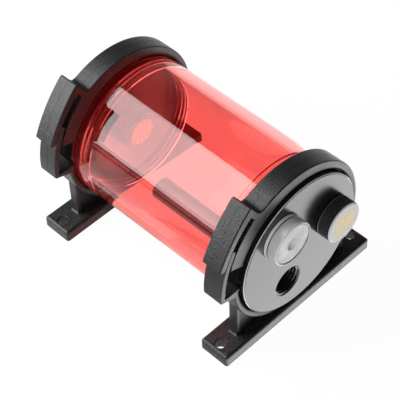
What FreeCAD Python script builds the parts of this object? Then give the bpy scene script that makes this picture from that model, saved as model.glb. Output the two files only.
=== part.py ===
import FreeCAD, Part
import math
import os
import re

import Sketcher

# Tubular coolant reservoir held in two ratchet clips with foot bars.
# X runs along the foot bars, Y along the tube, Z up. The front cap faces -Y.
# The origin is the centre of the four foot holes, on the plane the feet stand on.

DIMENSIONS = [
    # Foot bars and the ring clips that stand on them
    ("foot_length", 80.0),
    ("foot_width", 13.5),
    ("foot_height", 5.0),
    ("foot_round", 1.1),
    ("bolt_hole_dia", 4.3),
    ("bolt_edge", 3.7),
    ("clip_setback", 5.9),
    ("tube_lift", 0.3),
    ("clip_width", 8.8),
    ("clip_clearance", 0.1),
    ("ring_wall", 2.5),
    ("bore_round_share", 0.62),
    ("back_round_share", 0.2),
    ("pedestal_inset", 3.1),
    ("pedestal_sink", 0.4),
    ("web_thickness", 2.6),
    ("flange_width", 4.2),
    ("flange_thickness", 1.8),
    # Strap of the clip: thin where it flexes, crescent towards the latch
    ("flex_angle", -17.6),
    ("flex_gap", 0.1),
    ("crescent_angle", 15.0),
    ("crescent_swell", 2.4),
    ("crescent_wall", 7.2),
    ("notch_angle", 122.5),
    ("notch_round", 2.0),
    # Ratchet latch, angles and radii about its own centre beside the tube axis
    ("latch_x", 0.9),
    ("latch_z", 1.5),
    ("arm_radius", 40.7),
    ("arm_thickness", 1.7),
    ("arm_tip_angle", 148.0),
    ("slot_end_angle", 128.5),
    ("slot_clearance", 0.35),
    ("hook_end_angle", 159.5),
    ("hook_end_wall", 2.7),
    ("hook_top_wall", 4.55),
    ("hook_arc_radius", 62.0),
    ("hook_round", 1.2),
    ("tongue_end_angle", 161.0),
    ("shelf_angle", 178.5),
    ("shelf_thickness", 2.4),
    ("shelf_root", 3.6),
    ("tooth_pitch_angle", 1.85),
    ("tooth_height", 0.45),
    ("tooth_gap", 0.2),
    # Tube and the two screwed caps
    ("tube_wall", 4.0),
    ("socket_wall", 3.0),
    ("overall_length", 99.4),
    ("thread_dia", 54.0),
    ("thread_clearance", 0.1),
    ("socket_depth", 12.0),
    ("cap_inset", 0.2),
    ("cap_flange", 5.0),
    ("cap_spigot", 6.0),
    ("cap_chamfer", 0.5),
    ("spigot_chamfer", 1.0),
    ("cap_seat_gap", 0.1),
    ("cap_groove_depth", 1.6),
    ("cap_groove_width", 2.2),
    ("cap_groove_offset", 0.9),
    ("seal_clearance", 0.05),
    # Ports, plugs and the dip tube
    ("port_count", 3),
    ("port_dia", 13.16),
    ("port_depth", 7.4),
    ("port_chamfer", 0.2),
    ("port_circle_radius", 17.0),
    ("port_angle", 8.0),
    ("plug_clearance", 0.08),
    ("plug_shank", 6.0),
    ("plug_seat_gap", 0.1),
    ("plug_seal_width", 1.6),
    ("plug_seal_depth", 1.2),
    ("plug_chamfer", 0.5),
    ("plug_bore_dia", 8.4),
    ("plug_crown", 3.2),
    ("knurled_head_dia", 17.2),
    ("knurled_head_height", 6.2),
    ("lamp_head_dia", 19.0),
    ("lamp_head_height", 5.7),
    ("lamp_rim_height", 1.5),
    ("lamp_step", 0.4),
    ("lamp_shoulder", 0.5),
    ("lamp_face_dia", 16.6),
    ("lamp_face_sink", 0.3),
    ("lamp_hole_dia", 5.4),
    ("lamp_hole_depth", 9.2),
    ("dip_tube_od", 9.7),
    ("dip_tube_bore", 7.0),
    ("dip_tube_fit", 0.02),
    ("dip_tube_reach", 55.7),
]
NAMES = {name for name, _ in DIMENSIONS}

# Derived sizes, as expressions on the sheet's names
TUBE_R = "(thread_dia / 2 + socket_wall)"
BORE_R = f"({TUBE_R} + clip_clearance)"
RING_R = f"({BORE_R} + ring_wall)"
CRESCENT_R = f"({RING_R} + crescent_swell)"
NOTCH_R = f"({BORE_R} + crescent_wall)"
BORE_ROUND = "(bore_round_share * ring_wall)"
BACK_ROUND = "(back_round_share * ring_wall)"
ARM_IN_R = "(arm_radius - arm_thickness)"
SLOT_R = "(arm_radius + slot_clearance)"
HOOK_TOP_R = f"({SLOT_R} + hook_top_wall)"
TONGUE_R = f"({ARM_IN_R} - 2 * tooth_height - tooth_gap)"
HOOK_END_R = f"({SLOT_R} + hook_end_wall)"
AXIS_HEIGHT = f"(foot_height + tube_lift + {BORE_R})"
FOOT_TOP = f"(foot_height - {AXIS_HEIGHT})"
CLIP_Y = "(overall_length / 2 - clip_setback)"
BOLT_X = "(foot_length / 2 - bolt_edge)"
PEDESTAL_R = f"({RING_R} - pedestal_sink)"
PEDESTAL_X = f"({RING_R} - pedestal_inset)"
STRAP_START = f"flex_angle + flex_gap / {BORE_R} * 180 / pi"
CAP_DEPTH = "(cap_flange + cap_spigot)"
TUBE_HALF = "(overall_length / 2 - cap_flange)"
SPIGOT_R = "(thread_dia / 2 - thread_clearance)"
GROOVE_R = f"({SPIGOT_R} - cap_groove_depth)"
GROOVE_START = "(cap_flange + cap_groove_offset)"
SHANK_R = "(port_dia / 2 - plug_clearance)"
RECESS_R = f"({SHANK_R} + plug_seal_width)"
RECESS_TOP = "(-plug_seat_gap - plug_seal_depth)"
PORT_TURN = "360 / port_count"

# A squeezed seal's flat sides stop short of its ends, which bulge on an arc; both are shares of its section
SEAL_SHORT = 0.27
SEAL_BULGE = 0.6
# Share of a saw tooth's height that it is sunk into the wall it stands on
TOOTH_SINK = 0.33

doc = FreeCAD.newDocument("reservoir")
sheet = doc.addObject("Spreadsheet::Sheet", "Dims")
for row, (name, value) in enumerate(DIMENSIONS, start=1):
    sheet.set(f"A{row}", name)
    sheet.set(f"B{row}", str(value))
    sheet.setAlias(f"B{row}", name)
doc.recompute()


def bound(expression):
    """The expression with each sheet name written as a reference to its cell."""
    return re.sub(r"[a-z_]+", lambda m: "Dims." + m[0] if m[0] in NAMES else m[0], str(expression))


def number(expression):
    """The value that the expression has now."""
    return float(sheet.evalExpression(bound(expression)))


def polar(radius, angle, centre=("0", "0")):
    """A point at a radius and an angle from +X towards +Z about a centre."""
    return (f"{centre[0]} + {radius} * cos({angle})", f"{centre[1]} + {radius} * sin({angle})")


def latch_point(radius, angle):
    """A point given about the latch's own centre."""
    return polar(radius, angle, ("latch_x", "latch_z"))


def drawn_in(point, radius):
    """The point moved straight towards the tube axis, to this radius."""
    reach = f"sqrt(({point[0]})^2 + ({point[1]})^2)"
    return tuple(f"{radius} * ({place}) / {reach}" for place in point)


def make_body(label, x="0", y="0", z=AXIS_HEIGHT, half_turn=False):
    """An empty body at a place, turned about Z where it faces the other way."""
    body = doc.addObject("PartDesign::Body", label)
    body.Label = label
    if half_turn:
        body.Placement.Rotation = FreeCAD.Rotation(FreeCAD.Vector(0, 0, 1), 180)
    body.setExpression("Placement.Base.x", bound(x))
    body.setExpression("Placement.Base.y", bound(y))
    body.setExpression("Placement.Base.z", bound(z))
    return body


def origin_feature(body, role):
    """The body's own origin plane or axis with this role."""
    return next(item for item in body.Origin.OriginFeatures if item.Role == role)


def make_sketch(body, name, plane, offset=("0", "0", "0")):
    """A sketch on an origin plane, moved by an offset in the plane's own axes."""
    sketch = body.newObject("Sketcher::SketchObject", name)
    sketch.AttachmentSupport = [(origin_feature(body, plane), "")]
    sketch.MapMode = "FlatFace"
    for axis, distance in zip("xyz", offset):
        sketch.setExpression(f"AttachmentOffset.Base.{axis}", bound(distance))
    return sketch


def bind(sketch, kind, *where, name, expression):
    """A named dimension of the sketch that follows the sheet."""
    index = sketch.addConstraint(Sketcher.Constraint(kind, *where, number(expression)))
    sketch.renameConstraint(index, name)
    sketch.setExpression(f"Constraints.{name}", bound(expression))


def arc_edge(start, end, radius, turn):
    """The shorter arc from start to end: turn is 1 counter-clockwise, -1 clockwise."""
    chord = end - start
    half = chord.Length / 2
    rise = math.sqrt(max(radius ** 2 - half ** 2, 0.0))
    left = FreeCAD.Vector(-chord.y, chord.x, 0).normalize()
    centre = start + chord / 2 + left * (rise * turn)
    first, last = (start, end) if turn > 0 else (end, start)
    angles = [math.atan2(point.y - centre.y, point.x - centre.x) for point in (first, last)]
    if angles[1] < angles[0]:
        angles[1] += 2 * math.pi
    circle = Part.Circle(centre, FreeCAD.Vector(0, 0, 1), radius)
    return Part.ArcOfCircle(circle, *angles)


def draw_outline(sketch, corners):
    """A closed outline. A corner is (x, y), or (x, y, radius, turn) to leave it on an arc."""
    points = [FreeCAD.Vector(number(corner[0]), number(corner[1]), 0) for corner in corners]
    edge_ends = []
    for index, corner in enumerate(corners):
        start = points[index]
        end = points[(index + 1) % len(points)]
        if len(corner) == 2:
            sketch.addGeometry(Part.LineSegment(start, end))
            edge_ends.append((1, 2))
        else:
            sketch.addGeometry(arc_edge(start, end, number(corner[2]), corner[3]))
            edge_ends.append((1, 2) if corner[3] > 0 else (2, 1))
    for index, corner in enumerate(corners):
        following = (index + 1) % len(corners)
        sketch.addConstraint(Sketcher.Constraint(
            "Coincident", index, edge_ends[index][1], following, edge_ends[following][0]))
        first = edge_ends[index][0]
        bind(sketch, "DistanceX", index, first, name=f"x{index}", expression=corner[0])
        bind(sketch, "DistanceY", index, first, name=f"y{index}", expression=corner[1])
        if len(corner) > 2:
            bind(sketch, "Radius", index, name=f"r{index}", expression=corner[2])


def draw_circle(sketch, x, y, radius):
    """A circle with its centre and radius on the sheet."""
    centre = FreeCAD.Vector(number(x), number(y), 0)
    index = sketch.addGeometry(Part.Circle(centre, FreeCAD.Vector(0, 0, 1), number(radius)))
    bind(sketch, "DistanceX", index, 3, name=f"x{index}", expression=x)
    bind(sketch, "DistanceY", index, 3, name=f"y{index}", expression=y)
    bind(sketch, "Radius", index, name=f"r{index}", expression=radius)


def pad(body, name, corners, thickness, offset=("0", "0", "0")):
    """An outline in the XZ plane, thickened evenly to both sides."""
    sketch = make_sketch(body, name + "_sketch", "XZ_Plane", offset)
    draw_outline(sketch, corners)
    feature = body.newObject("PartDesign::Pad", name)
    feature.Profile = sketch
    feature.SideType = "Symmetric"
    feature.setExpression("Length", bound(thickness))
    doc.recompute()
    return feature


def pocket(body, name, sketch, depth=None, reverse=False):
    """A pocket of the sketch, of a depth or right through."""
    feature = body.newObject("PartDesign::Pocket", name)
    feature.Profile = sketch
    feature.Reversed = reverse
    if depth is None:
        feature.Type = "ThroughAll"
    else:
        feature.setExpression("Length", bound(depth))
    doc.recompute()
    return feature


def repeat_about(body, name, feature, axis, step, count):
    """Copies of a feature about an axis, one step of angle apart."""
    pattern = body.newObject("PartDesign::PolarPattern", name)
    pattern.Originals = [feature]
    pattern.Axis = axis
    pattern.Mode = "Spacing"
    pattern.setExpression("Offset", bound(step))
    pattern.setExpression("Occurrences", bound(count))
    body.Tip = pattern
    doc.recompute()
    return pattern


def dress_edges(body, kind, name, size, wanted):
    """A fillet or chamfer on every edge of the body that wanted() picks."""
    base = body.Tip
    shape = base.Shape
    picked = [f"Edge{i}" for i, edge in enumerate(shape.Edges, start=1) if wanted(edge)]
    feature = body.newObject(f"PartDesign::{kind}", name)
    feature.Base = (base, picked)
    feature.setExpression("Radius" if kind == "Fillet" else "Size", bound(size))
    doc.recompute()
    return feature


def is_circle(edge, radius):
    """Whether the edge is an arc of this radius."""
    return isinstance(edge.Curve, Part.Circle) and math.isclose(edge.Curve.Radius, radius, abs_tol=1e-4)


def lies_at(edge, axis, place):
    """Whether both ends of the edge lie at this place along an axis."""
    return all(math.isclose(getattr(v.Point, axis), place, abs_tol=1e-4) for v in edge.Vertexes)


def spin(label, corners, **place):
    """A body of revolution: corners are (radius, distance along Y)."""
    body = make_body(label, **place)
    sketch = make_sketch(body, label + "_section", "XY_Plane")
    draw_outline(sketch, corners)
    feature = body.newObject("PartDesign::Revolution", label + "_turned")
    feature.Profile = sketch
    feature.ReferenceAxis = (sketch, ["V_Axis"])
    doc.recompute()
    return body


def make_seal(label, inner, outer, start, end, **place):
    """An O-ring in its squeezed section, flat on its inner and outer sides."""
    bulge = f"({outer} - {inner}) * {SEAL_BULGE}"
    short = f"({outer} - {inner}) * {SEAL_SHORT}"
    return spin(label, [
        (inner, f"{start} + {short}", bulge, 1),
        (outer, f"{start} + {short}"),
        (outer, f"{end} - {short}", bulge, 1),
        (inner, f"{end} - {short}"),
    ], **place)


def stands_at(edge, point):
    """Whether the edge runs across the clip through this point of its outline."""
    return lies_at(edge, "x", number(point[0])) and lies_at(edge, "z", number(point[1]))


def on_ring_face(edge):
    """Whether the edge lies on one of the ring's two flat faces."""
    return any(lies_at(edge, "y", side * number("clip_width") / 2) for side in (-1, 1))


def ring_bore_edges(edge):
    """The clip bore's edges on its two faces."""
    return on_ring_face(edge) and is_circle(edge, number(BORE_R))


def ring_back_edges(edge):
    """The outer edges of the ring, its latch arm and its hook on the two faces."""
    radii = (RING_R, CRESCENT_R, "arm_radius", "hook_arc_radius", "hook_round", "notch_round")
    if not on_ring_face(edge):
        return False
    if any(is_circle(edge, number(radius)) for radius in radii):
        return True
    angle = math.radians(number("notch_angle"))
    turns = [math.atan2(vertex.Point.z, vertex.Point.x) for vertex in edge.Vertexes]
    return all(math.isclose(turn, angle, abs_tol=1e-5) for turn in turns)


def foot_rim_edges(edge):
    """The foot bar's upright corners and the rim of its top."""
    at_end = any(lies_at(edge, "x", side * number("foot_length") / 2) for side in (-1, 1))
    at_side = any(lies_at(edge, "y", side * number("foot_width") / 2) for side in (-1, 1))
    on_top = lies_at(edge, "z", number(FOOT_TOP))
    return (at_end and at_side) or (on_top and (at_end or at_side))


def saw_teeth(body, name, wall, tip, wall_start, wall_end, steep_first):
    """Saw teeth along a latch wall: the steep side comes first or last going down the arm."""
    sink = f"({wall} + ({wall} - {tip}) * {TOOTH_SINK})"
    start = f"({wall_start} + tooth_pitch_angle / 2)"
    low = f"({start} + tooth_pitch_angle)"
    count = f"floor(({wall_end} - {wall_start}) / tooth_pitch_angle) - 1"
    tip_angle = start if steep_first else low
    foot_angle = low if steep_first else start
    corners = [polar(sink, start), polar(tip, tip_angle), polar(wall, foot_angle), polar(sink, low)]
    if not steep_first:
        corners[1], corners[2] = corners[2], corners[1]
    tooth = pad(body, name, corners, "clip_width", ("latch_x", "latch_z", "0"))
    repeat_about(body, name + "_row", tooth, (tooth.Profile[0], ["N_Axis"]), "tooth_pitch_angle", count)


def pedestal(body, name, left, right, thickness):
    """A wall that stands on the foot bar and runs up into the ring."""
    floor = f"({FOOT_TOP} - pedestal_sink)"
    pad(body, name, [
        (left, floor),
        (right, floor),
        (right, f"-sqrt({PEDESTAL_R}^2 - ({right})^2)", PEDESTAL_R, -1),
        (left, f"-sqrt({PEDESTAL_R}^2 - ({left})^2)"),
    ], thickness)


def make_clip_base(label, y):
    """Lower half of the ring with the latch's toothed arm, on a pedestal and a foot bar."""
    body = make_body(label, y=y)
    shelf_z = f"{BORE_R} * sin(shelf_angle)"
    arm_floor_x = f"latch_x - sqrt({ARM_IN_R}^2 - ({shelf_z} - latch_z)^2)"
    arm_foot_z = f"({shelf_z} - shelf_thickness / 2)"
    arm_foot_x = f"latch_x - sqrt(arm_radius^2 - ({arm_foot_z} - latch_z)^2)"
    shelf_root_z = f"({shelf_z} - shelf_root)"
    shelf_root_x = f"-sqrt({RING_R}^2 - {shelf_root_z}^2)"
    pad(body, label + "_ring", [
        polar(RING_R, "flex_angle") + (RING_R, -1),
        (shelf_root_x, shelf_root_z),
        (arm_foot_x, arm_foot_z, "arm_radius", -1),
        latch_point("arm_radius", "arm_tip_angle"),
        latch_point(ARM_IN_R, "arm_tip_angle") + (ARM_IN_R, 1),
        (arm_floor_x, shelf_z),
        polar(BORE_R, "shelf_angle") + (BORE_R, 1),
        polar(BORE_R, "flex_angle"),
    ], "clip_width")
    dress_edges(body, "Fillet", label + "_bore_round", BORE_ROUND, ring_bore_edges)
    dress_edges(body, "Fillet", label + "_back_round", BACK_ROUND, ring_back_edges)

    foot_bottom = f"-{AXIS_HEIGHT}"
    pad(body, label + "_foot", [
        ("-foot_length / 2", foot_bottom),
        ("foot_length / 2", foot_bottom),
        ("foot_length / 2", FOOT_TOP),
        ("-foot_length / 2", FOOT_TOP),
    ], "foot_width")
    dress_edges(body, "Fillet", label + "_foot_round", "foot_round", foot_rim_edges)
    inside = f"({PEDESTAL_X} - flange_thickness)"
    pedestal(body, label + "_web", f"-{PEDESTAL_X}", PEDESTAL_X, "web_thickness")
    pedestal(body, label + "_left_flange", f"-{PEDESTAL_X}", f"-{inside}", "flange_width")
    pedestal(body, label + "_right_flange", inside, PEDESTAL_X, "flange_width")

    holes = make_sketch(body, label + "_bolt_holes", "XY_Plane", ("0", "0", FOOT_TOP))
    for side in ("-", ""):
        draw_circle(holes, f"{side}{BOLT_X}", "0", "bolt_hole_dia / 2")
    pocket(body, label + "_bolt_bores", holes)
    saw_teeth(body, label + "_arm_tooth", ARM_IN_R, f"({ARM_IN_R} - tooth_height)",
              "arm_tip_angle", "shelf_angle", steep_first=False)
    return body


def make_clip_strap(label, y):
    """Upper half of the ring with the slotted hook that takes the arm."""
    body = make_body(label, y=y)
    mid_angle = "(flex_angle + notch_angle) / 2"
    tongue_tip = latch_point(TONGUE_R, "tongue_end_angle")
    hook_top = polar(HOOK_TOP_R, "notch_angle")
    notch = polar(NOTCH_R, "notch_angle")
    pad(body, label + "_ring", [
        polar(BORE_R, STRAP_START) + (BORE_R, 1),
        polar(BORE_R, mid_angle) + (BORE_R, 1),
        drawn_in(tongue_tip, BORE_R),
        tongue_tip + (TONGUE_R, -1),
        latch_point(TONGUE_R, "slot_end_angle"),
        latch_point(SLOT_R, "slot_end_angle") + (SLOT_R, 1),
        latch_point(SLOT_R, "hook_end_angle"),
        latch_point(HOOK_END_R, "hook_end_angle") + ("hook_arc_radius", -1),
        hook_top,
        notch + (CRESCENT_R, -1),
        polar(RING_R, "crescent_angle") + (RING_R, -1),
        polar(RING_R, STRAP_START),
    ], "clip_width")
    dress_edges(body, "Fillet", label + "_hook_round", "hook_round", lambda edge: stands_at(edge, hook_top))
    dress_edges(body, "Fillet", label + "_notch_round", "notch_round", lambda edge: stands_at(edge, notch))
    dress_edges(body, "Fillet", label + "_bore_round", BORE_ROUND, ring_bore_edges)
    dress_edges(body, "Fillet", label + "_back_round", BACK_ROUND, ring_back_edges)
    saw_teeth(body, label + "_tongue_tooth", TONGUE_R, f"({TONGUE_R} + tooth_height)",
              "slot_end_angle", "tongue_end_angle", steep_first=True)
    return body


def make_tube():
    """Clear tube with a threaded socket in each end, the thread left as its plain bore."""
    inner = f"({TUBE_R} - tube_wall)"
    socket = "thread_dia / 2"
    step = f"({TUBE_HALF} - socket_depth)"
    return spin("reservoir_tube", [
        (inner, f"-{step}"),
        (socket, f"-{step}"),
        (socket, f"-{TUBE_HALF}"),
        (TUBE_R, f"-{TUBE_HALF}"),
        (TUBE_R, TUBE_HALF),
        (socket, TUBE_HALF),
        (socket, step),
        (inner, step),
    ])


def make_cap(label, **place):
    """A screw cap: its outer face at Y 0, its spigot running in along +Y."""
    face = f"({TUBE_R} - cap_inset)"
    shoulder = "(cap_flange - cap_seat_gap)"
    groove_end = f"({GROOVE_START} + cap_groove_width)"
    return spin(label, [
        ("0", "0"),
        (f"{face} - cap_chamfer", "0"),
        (face, "cap_chamfer"),
        (face, shoulder),
        (SPIGOT_R, shoulder),
        (SPIGOT_R, GROOVE_START),
        (GROOVE_R, GROOVE_START),
        (GROOVE_R, groove_end),
        (SPIGOT_R, groove_end),
        (SPIGOT_R, f"{CAP_DEPTH} - spigot_chamfer"),
        (f"{SPIGOT_R} - spigot_chamfer", CAP_DEPTH),
        ("0", CAP_DEPTH),
    ], **place)


def make_cap_seal(label, **place):
    """The cap's O-ring, in the groove of its spigot."""
    return make_seal(
        label,
        f"({GROOVE_R} + seal_clearance)",
        "(thread_dia / 2 - seal_clearance)",
        f"({GROOVE_START} + seal_clearance)",
        f"({GROOVE_START} + cap_groove_width - seal_clearance)",
        **place)


def make_front_cap():
    """Front cap with three ports, each with a chamfered mouth and a passage to the chamber."""
    body = make_cap("front_cap", y="-overall_length / 2")
    axis = (origin_feature(body, "Y_Axis"), [""])
    centre = polar("port_circle_radius", "port_angle")
    for name, radius, depth in (
            ("port", "port_dia / 2", "port_depth"),
            ("passage", "(dip_tube_od / 2 + dip_tube_fit)", None)):
        sketch = make_sketch(body, name + "_sketch", "XZ_Plane")
        draw_circle(sketch, *centre, radius)
        bore = pocket(body, name, sketch, depth)
        repeat_about(body, name + "_ring", bore, axis, PORT_TURN, "port_count")
    dress_edges(body, "Chamfer", "port_mouths", "port_chamfer",
                lambda edge: is_circle(edge, number("port_dia / 2")) and lies_at(edge, "y", 0.0))
    return body


def make_rear_cap():
    """Rear cap, closed outside, with one threaded socket in the middle of its inner face."""
    body = make_cap("rear_cap", y="overall_length / 2", half_turn=True)
    sketch = make_sketch(body, "rear_socket_sketch", "XZ_Plane", ("0", "0", f"-{CAP_DEPTH}"))
    draw_circle(sketch, "0", "0", "port_dia / 2")
    pocket(body, "rear_socket", sketch, "port_depth", reverse=True)
    return body


def shank_corners():
    """A port plug from the seal recess under its head to the end of its shank."""
    return [
        (RECESS_R, "-plug_seat_gap"),
        (RECESS_R, RECESS_TOP),
        (SHANK_R, RECESS_TOP),
        (SHANK_R, "plug_shank - plug_chamfer"),
        (f"{SHANK_R} - plug_chamfer", "plug_shank"),
    ]


def make_knurled_plug(label, **place):
    """A port plug with a tall round head and a hollow shank."""
    head = "knurled_head_dia / 2"
    crown = "plug_crown - knurled_head_height"
    return spin(label, [
        ("0", "-knurled_head_height"),
        (f"{head} - plug_chamfer", "-knurled_head_height"),
        (head, "plug_chamfer - knurled_head_height"),
        (head, "-plug_seat_gap"),
    ] + shank_corners() + [
        ("plug_bore_dia / 2", "plug_shank"),
        ("plug_bore_dia / 2", crown),
        ("0", crown),
    ], **place)


def make_lamp_plug(label, **place):
    """A clear port plug with a blind hole in its face for a small lamp."""
    rim = "lamp_head_dia / 2"
    body_r = f"({rim} - lamp_step)"
    hole = "lamp_hole_dia / 2"
    face = "lamp_face_dia / 2"
    top = "-lamp_head_height"
    floor = f"({top} + lamp_hole_depth)"
    return spin(label, [
        (hole, f"{top} + lamp_face_sink"),
        (face, f"{top} + lamp_face_sink"),
        (face, top),
        (f"{body_r} - lamp_shoulder", top, "lamp_shoulder", 1),
        (body_r, f"{top} + lamp_shoulder"),
        (body_r, "-lamp_rim_height"),
        (rim, "-lamp_rim_height"),
        (rim, "-plug_seat_gap"),
    ] + shank_corners() + [
        ("0", "plug_shank"),
        ("0", floor),
        (hole, floor),
    ], **place)


def make_plug_seal(label, **place):
    """The O-ring under a port plug's head."""
    return make_seal(
        label,
        f"({SHANK_R} + seal_clearance)",
        f"({RECESS_R} - seal_clearance)",
        f"({RECESS_TOP} + seal_clearance)",
        "-seal_clearance",
        **place)


def make_dip_tube(**place):
    """The pipe behind the open port, pressed into the port's passage."""
    length = f"({CAP_DEPTH} - port_depth + dip_tube_reach)"
    return spin("dip_tube", [
        ("dip_tube_bore / 2", "0"),
        ("dip_tube_od / 2", "0"),
        ("dip_tube_od / 2", length),
        ("dip_tube_bore / 2", length),
    ], **place)


def port_place(index, depth="0"):
    """Where a port's axis meets a depth behind the front face."""
    x, z = polar("port_circle_radius", f"(port_angle + {index} * {PORT_TURN})")
    return {"x": x, "y": f"{depth} - overall_length / 2", "z": f"{AXIS_HEIGHT} + {z}"}


FILL_PORT, LAMP_PORT, OPEN_PORT = range(3)
rear_face = {"y": f"overall_length / 2 - {CAP_DEPTH}"}

parts = [
    make_tube(),
    make_front_cap(),
    make_cap_seal("front_cap_o_ring", y="-overall_length / 2"),
    make_rear_cap(),
    make_cap_seal("rear_cap_o_ring", y="overall_length / 2", half_turn=True),
    make_knurled_plug("fill_plug", **port_place(FILL_PORT)),
    make_plug_seal("fill_plug_o_ring", **port_place(FILL_PORT)),
    make_lamp_plug("lamp_plug", **port_place(LAMP_PORT)),
    make_plug_seal("lamp_plug_o_ring", **port_place(LAMP_PORT)),
    make_dip_tube(**port_place(OPEN_PORT, "port_depth")),
    make_knurled_plug("rear_plug", **rear_face),
    make_plug_seal("rear_plug_o_ring", **rear_face),
]
for end, clip_y in (("front", f"-{CLIP_Y}"), ("rear", CLIP_Y)):
    parts.append(make_clip_base(f"{end}_clip_base", clip_y))
    parts.append(make_clip_strap(f"{end}_clip_strap", clip_y))
doc.recompute()

for item in doc.Objects:
    if "Invalid" in item.State or "Error" in item.State:
        raise RuntimeError(f"{item.Label} failed: {item.State}")
for body in parts:
    if body.Shape.isNull() or not body.Shape.isValid() or len(body.Shape.Solids) != 1:
        raise RuntimeError(f"{body.Label} is not one valid solid")

os.makedirs("parts", exist_ok=True)
for body in parts:
    body.Shape.exportStep(f"parts/{body.Label}.step")
    print(f"{body.Label}: {body.Shape.Volume:.1f} cubic mm")
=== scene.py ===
# %% [markdown]
# # A coolant reservoir in two ratchet clips
# The object is a clear red tube with a black screw cap in each end. Two black ring clips on foot bars
# hold it, and each clip closes with a toothed latch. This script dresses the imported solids: it builds
# every visible surface again at the same size, with threads, knurls and rounded edges, and gives each its
# finish.

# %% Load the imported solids
import math

import bmesh
import bpy
import numpy as np
from mathutils import Matrix, Vector
from mathutils.geometry import tessellate_polygon


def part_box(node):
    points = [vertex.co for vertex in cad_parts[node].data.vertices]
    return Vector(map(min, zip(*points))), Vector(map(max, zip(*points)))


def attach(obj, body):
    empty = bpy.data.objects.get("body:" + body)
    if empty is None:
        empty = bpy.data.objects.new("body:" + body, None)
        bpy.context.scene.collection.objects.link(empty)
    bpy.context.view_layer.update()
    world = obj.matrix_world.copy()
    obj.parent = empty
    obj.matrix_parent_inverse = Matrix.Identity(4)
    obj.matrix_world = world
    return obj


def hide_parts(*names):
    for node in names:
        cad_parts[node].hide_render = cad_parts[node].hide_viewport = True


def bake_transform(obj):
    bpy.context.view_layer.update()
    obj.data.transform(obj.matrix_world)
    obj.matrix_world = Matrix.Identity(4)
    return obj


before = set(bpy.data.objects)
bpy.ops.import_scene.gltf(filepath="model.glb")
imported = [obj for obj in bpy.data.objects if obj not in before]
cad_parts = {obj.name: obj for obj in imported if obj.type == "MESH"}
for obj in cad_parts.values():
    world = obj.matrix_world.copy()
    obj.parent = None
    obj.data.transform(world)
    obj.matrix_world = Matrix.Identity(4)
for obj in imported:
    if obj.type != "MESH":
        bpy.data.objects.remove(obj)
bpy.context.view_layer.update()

# %% [markdown]
# ## Measures
# Every shape below is worked out in millimetres, in the frame of the solids, and written to its mesh in
# metres. What the solids already fix, such as the tube's radius or where a clip stands, is read from
# their boxes.

# %% Read the main measures from the solids
MM = 0.001


def box_mm(node):
    """A solid's lowest and highest corner, in millimetres."""
    return np.array(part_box(node)) / MM


tube_low, tube_high = box_mm("reservoir_tube")
AXIS_Z = (tube_low[2] + tube_high[2]) / 2
TUBE_R = (tube_high[0] - tube_low[0]) / 2
TUBE_END = tube_high[1]
CAP_FACE = -box_mm("front_cap")[0][1]
CAP_DEPTH = box_mm("front_cap")[1][1] + CAP_FACE
strap_low, strap_high = box_mm("front_clip_strap")
CLIP_WIDTH = strap_high[1] - strap_low[1]
CLIP_Y = -(strap_low[1] + strap_high[1]) / 2
foot_low, foot_high = box_mm("front_clip_base")
FOOT_LENGTH = foot_high[0] - foot_low[0]
FOOT_WIDTH = foot_high[1] - foot_low[1]
print(f"tube radius {TUBE_R:.1f} mm, axis {AXIS_Z:.1f} mm up, clips at {CLIP_Y:.1f} mm")

# %% [markdown]
# ## Camera
# The picture was taken from the front left and well above, with a long lens, so that the tube hardly
# tapers. A camera in Blender looks along its own -Z axis; here its three axes are worked out from two
# angles and a small roll, and written into one matrix.

# %% Camera at the photograph's angle
VIEW_AZIMUTH, VIEW_ELEVATION, VIEW_ROLL = (math.radians(v) for v in (-43.56, 48.17, -2.25))
VIEW_DISTANCE = 556.5
VIEW_TARGET = Vector((-2.74, -0.52, 23.8))
FOCAL_PIXELS, FRAME_PIXELS = 1447.7, 400
SENSOR = 36.0

back = Vector((
    math.sin(VIEW_AZIMUTH) * math.cos(VIEW_ELEVATION),
    -math.cos(VIEW_AZIMUTH) * math.cos(VIEW_ELEVATION),
    math.sin(VIEW_ELEVATION),
))
level = Vector((math.cos(VIEW_AZIMUTH), math.sin(VIEW_AZIMUTH), 0.0))
steep = back.cross(level)
right = level * math.cos(VIEW_ROLL) + steep * math.sin(VIEW_ROLL)
up = steep * math.cos(VIEW_ROLL) - level * math.sin(VIEW_ROLL)

lens = bpy.data.cameras.new("camera")
lens.sensor_width = SENSOR
lens.lens = FOCAL_PIXELS / FRAME_PIXELS * SENSOR
lens.clip_start, lens.clip_end = 0.01, 20.0
camera = bpy.data.objects.new("camera", lens)
bpy.context.scene.collection.objects.link(camera)
camera.matrix_world = Matrix.Translation((VIEW_TARGET + back * VIEW_DISTANCE) * MM) @ Matrix((
    (right.x, up.x, back.x, 0), (right.y, up.y, back.y, 0), (right.z, up.z, back.z, 0), (0, 0, 0, 1)))
bpy.context.scene.camera = camera
print(f"lens {lens.lens:.0f} mm, {VIEW_DISTANCE:.0f} mm away")

# %% [markdown]
# ## Grids of points
# Every surface here is a grid: points numbered row by row, and a quad between each four neighbours. Where
# the surface closes on itself, the last row or column joins the first. The points come as whole numpy
# arrays, which is shorter and quicker than placing them one by one.

# %% Quads of a grid
def grid_faces(rows, columns, wrap_rows=False, wrap_columns=False):
    """Quads of a grid of points numbered row by row, joined round where it wraps."""
    row, column = np.meshgrid(
        np.arange(rows if wrap_rows else rows - 1),
        np.arange(columns if wrap_columns else columns - 1), indexing="ij")
    below, beside = (row + 1) % rows, (column + 1) % columns
    quads = np.stack([row * columns + column, row * columns + beside,
                      below * columns + beside, below * columns + column], axis=-1)
    return quads.reshape(-1, 4).tolist()


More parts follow.
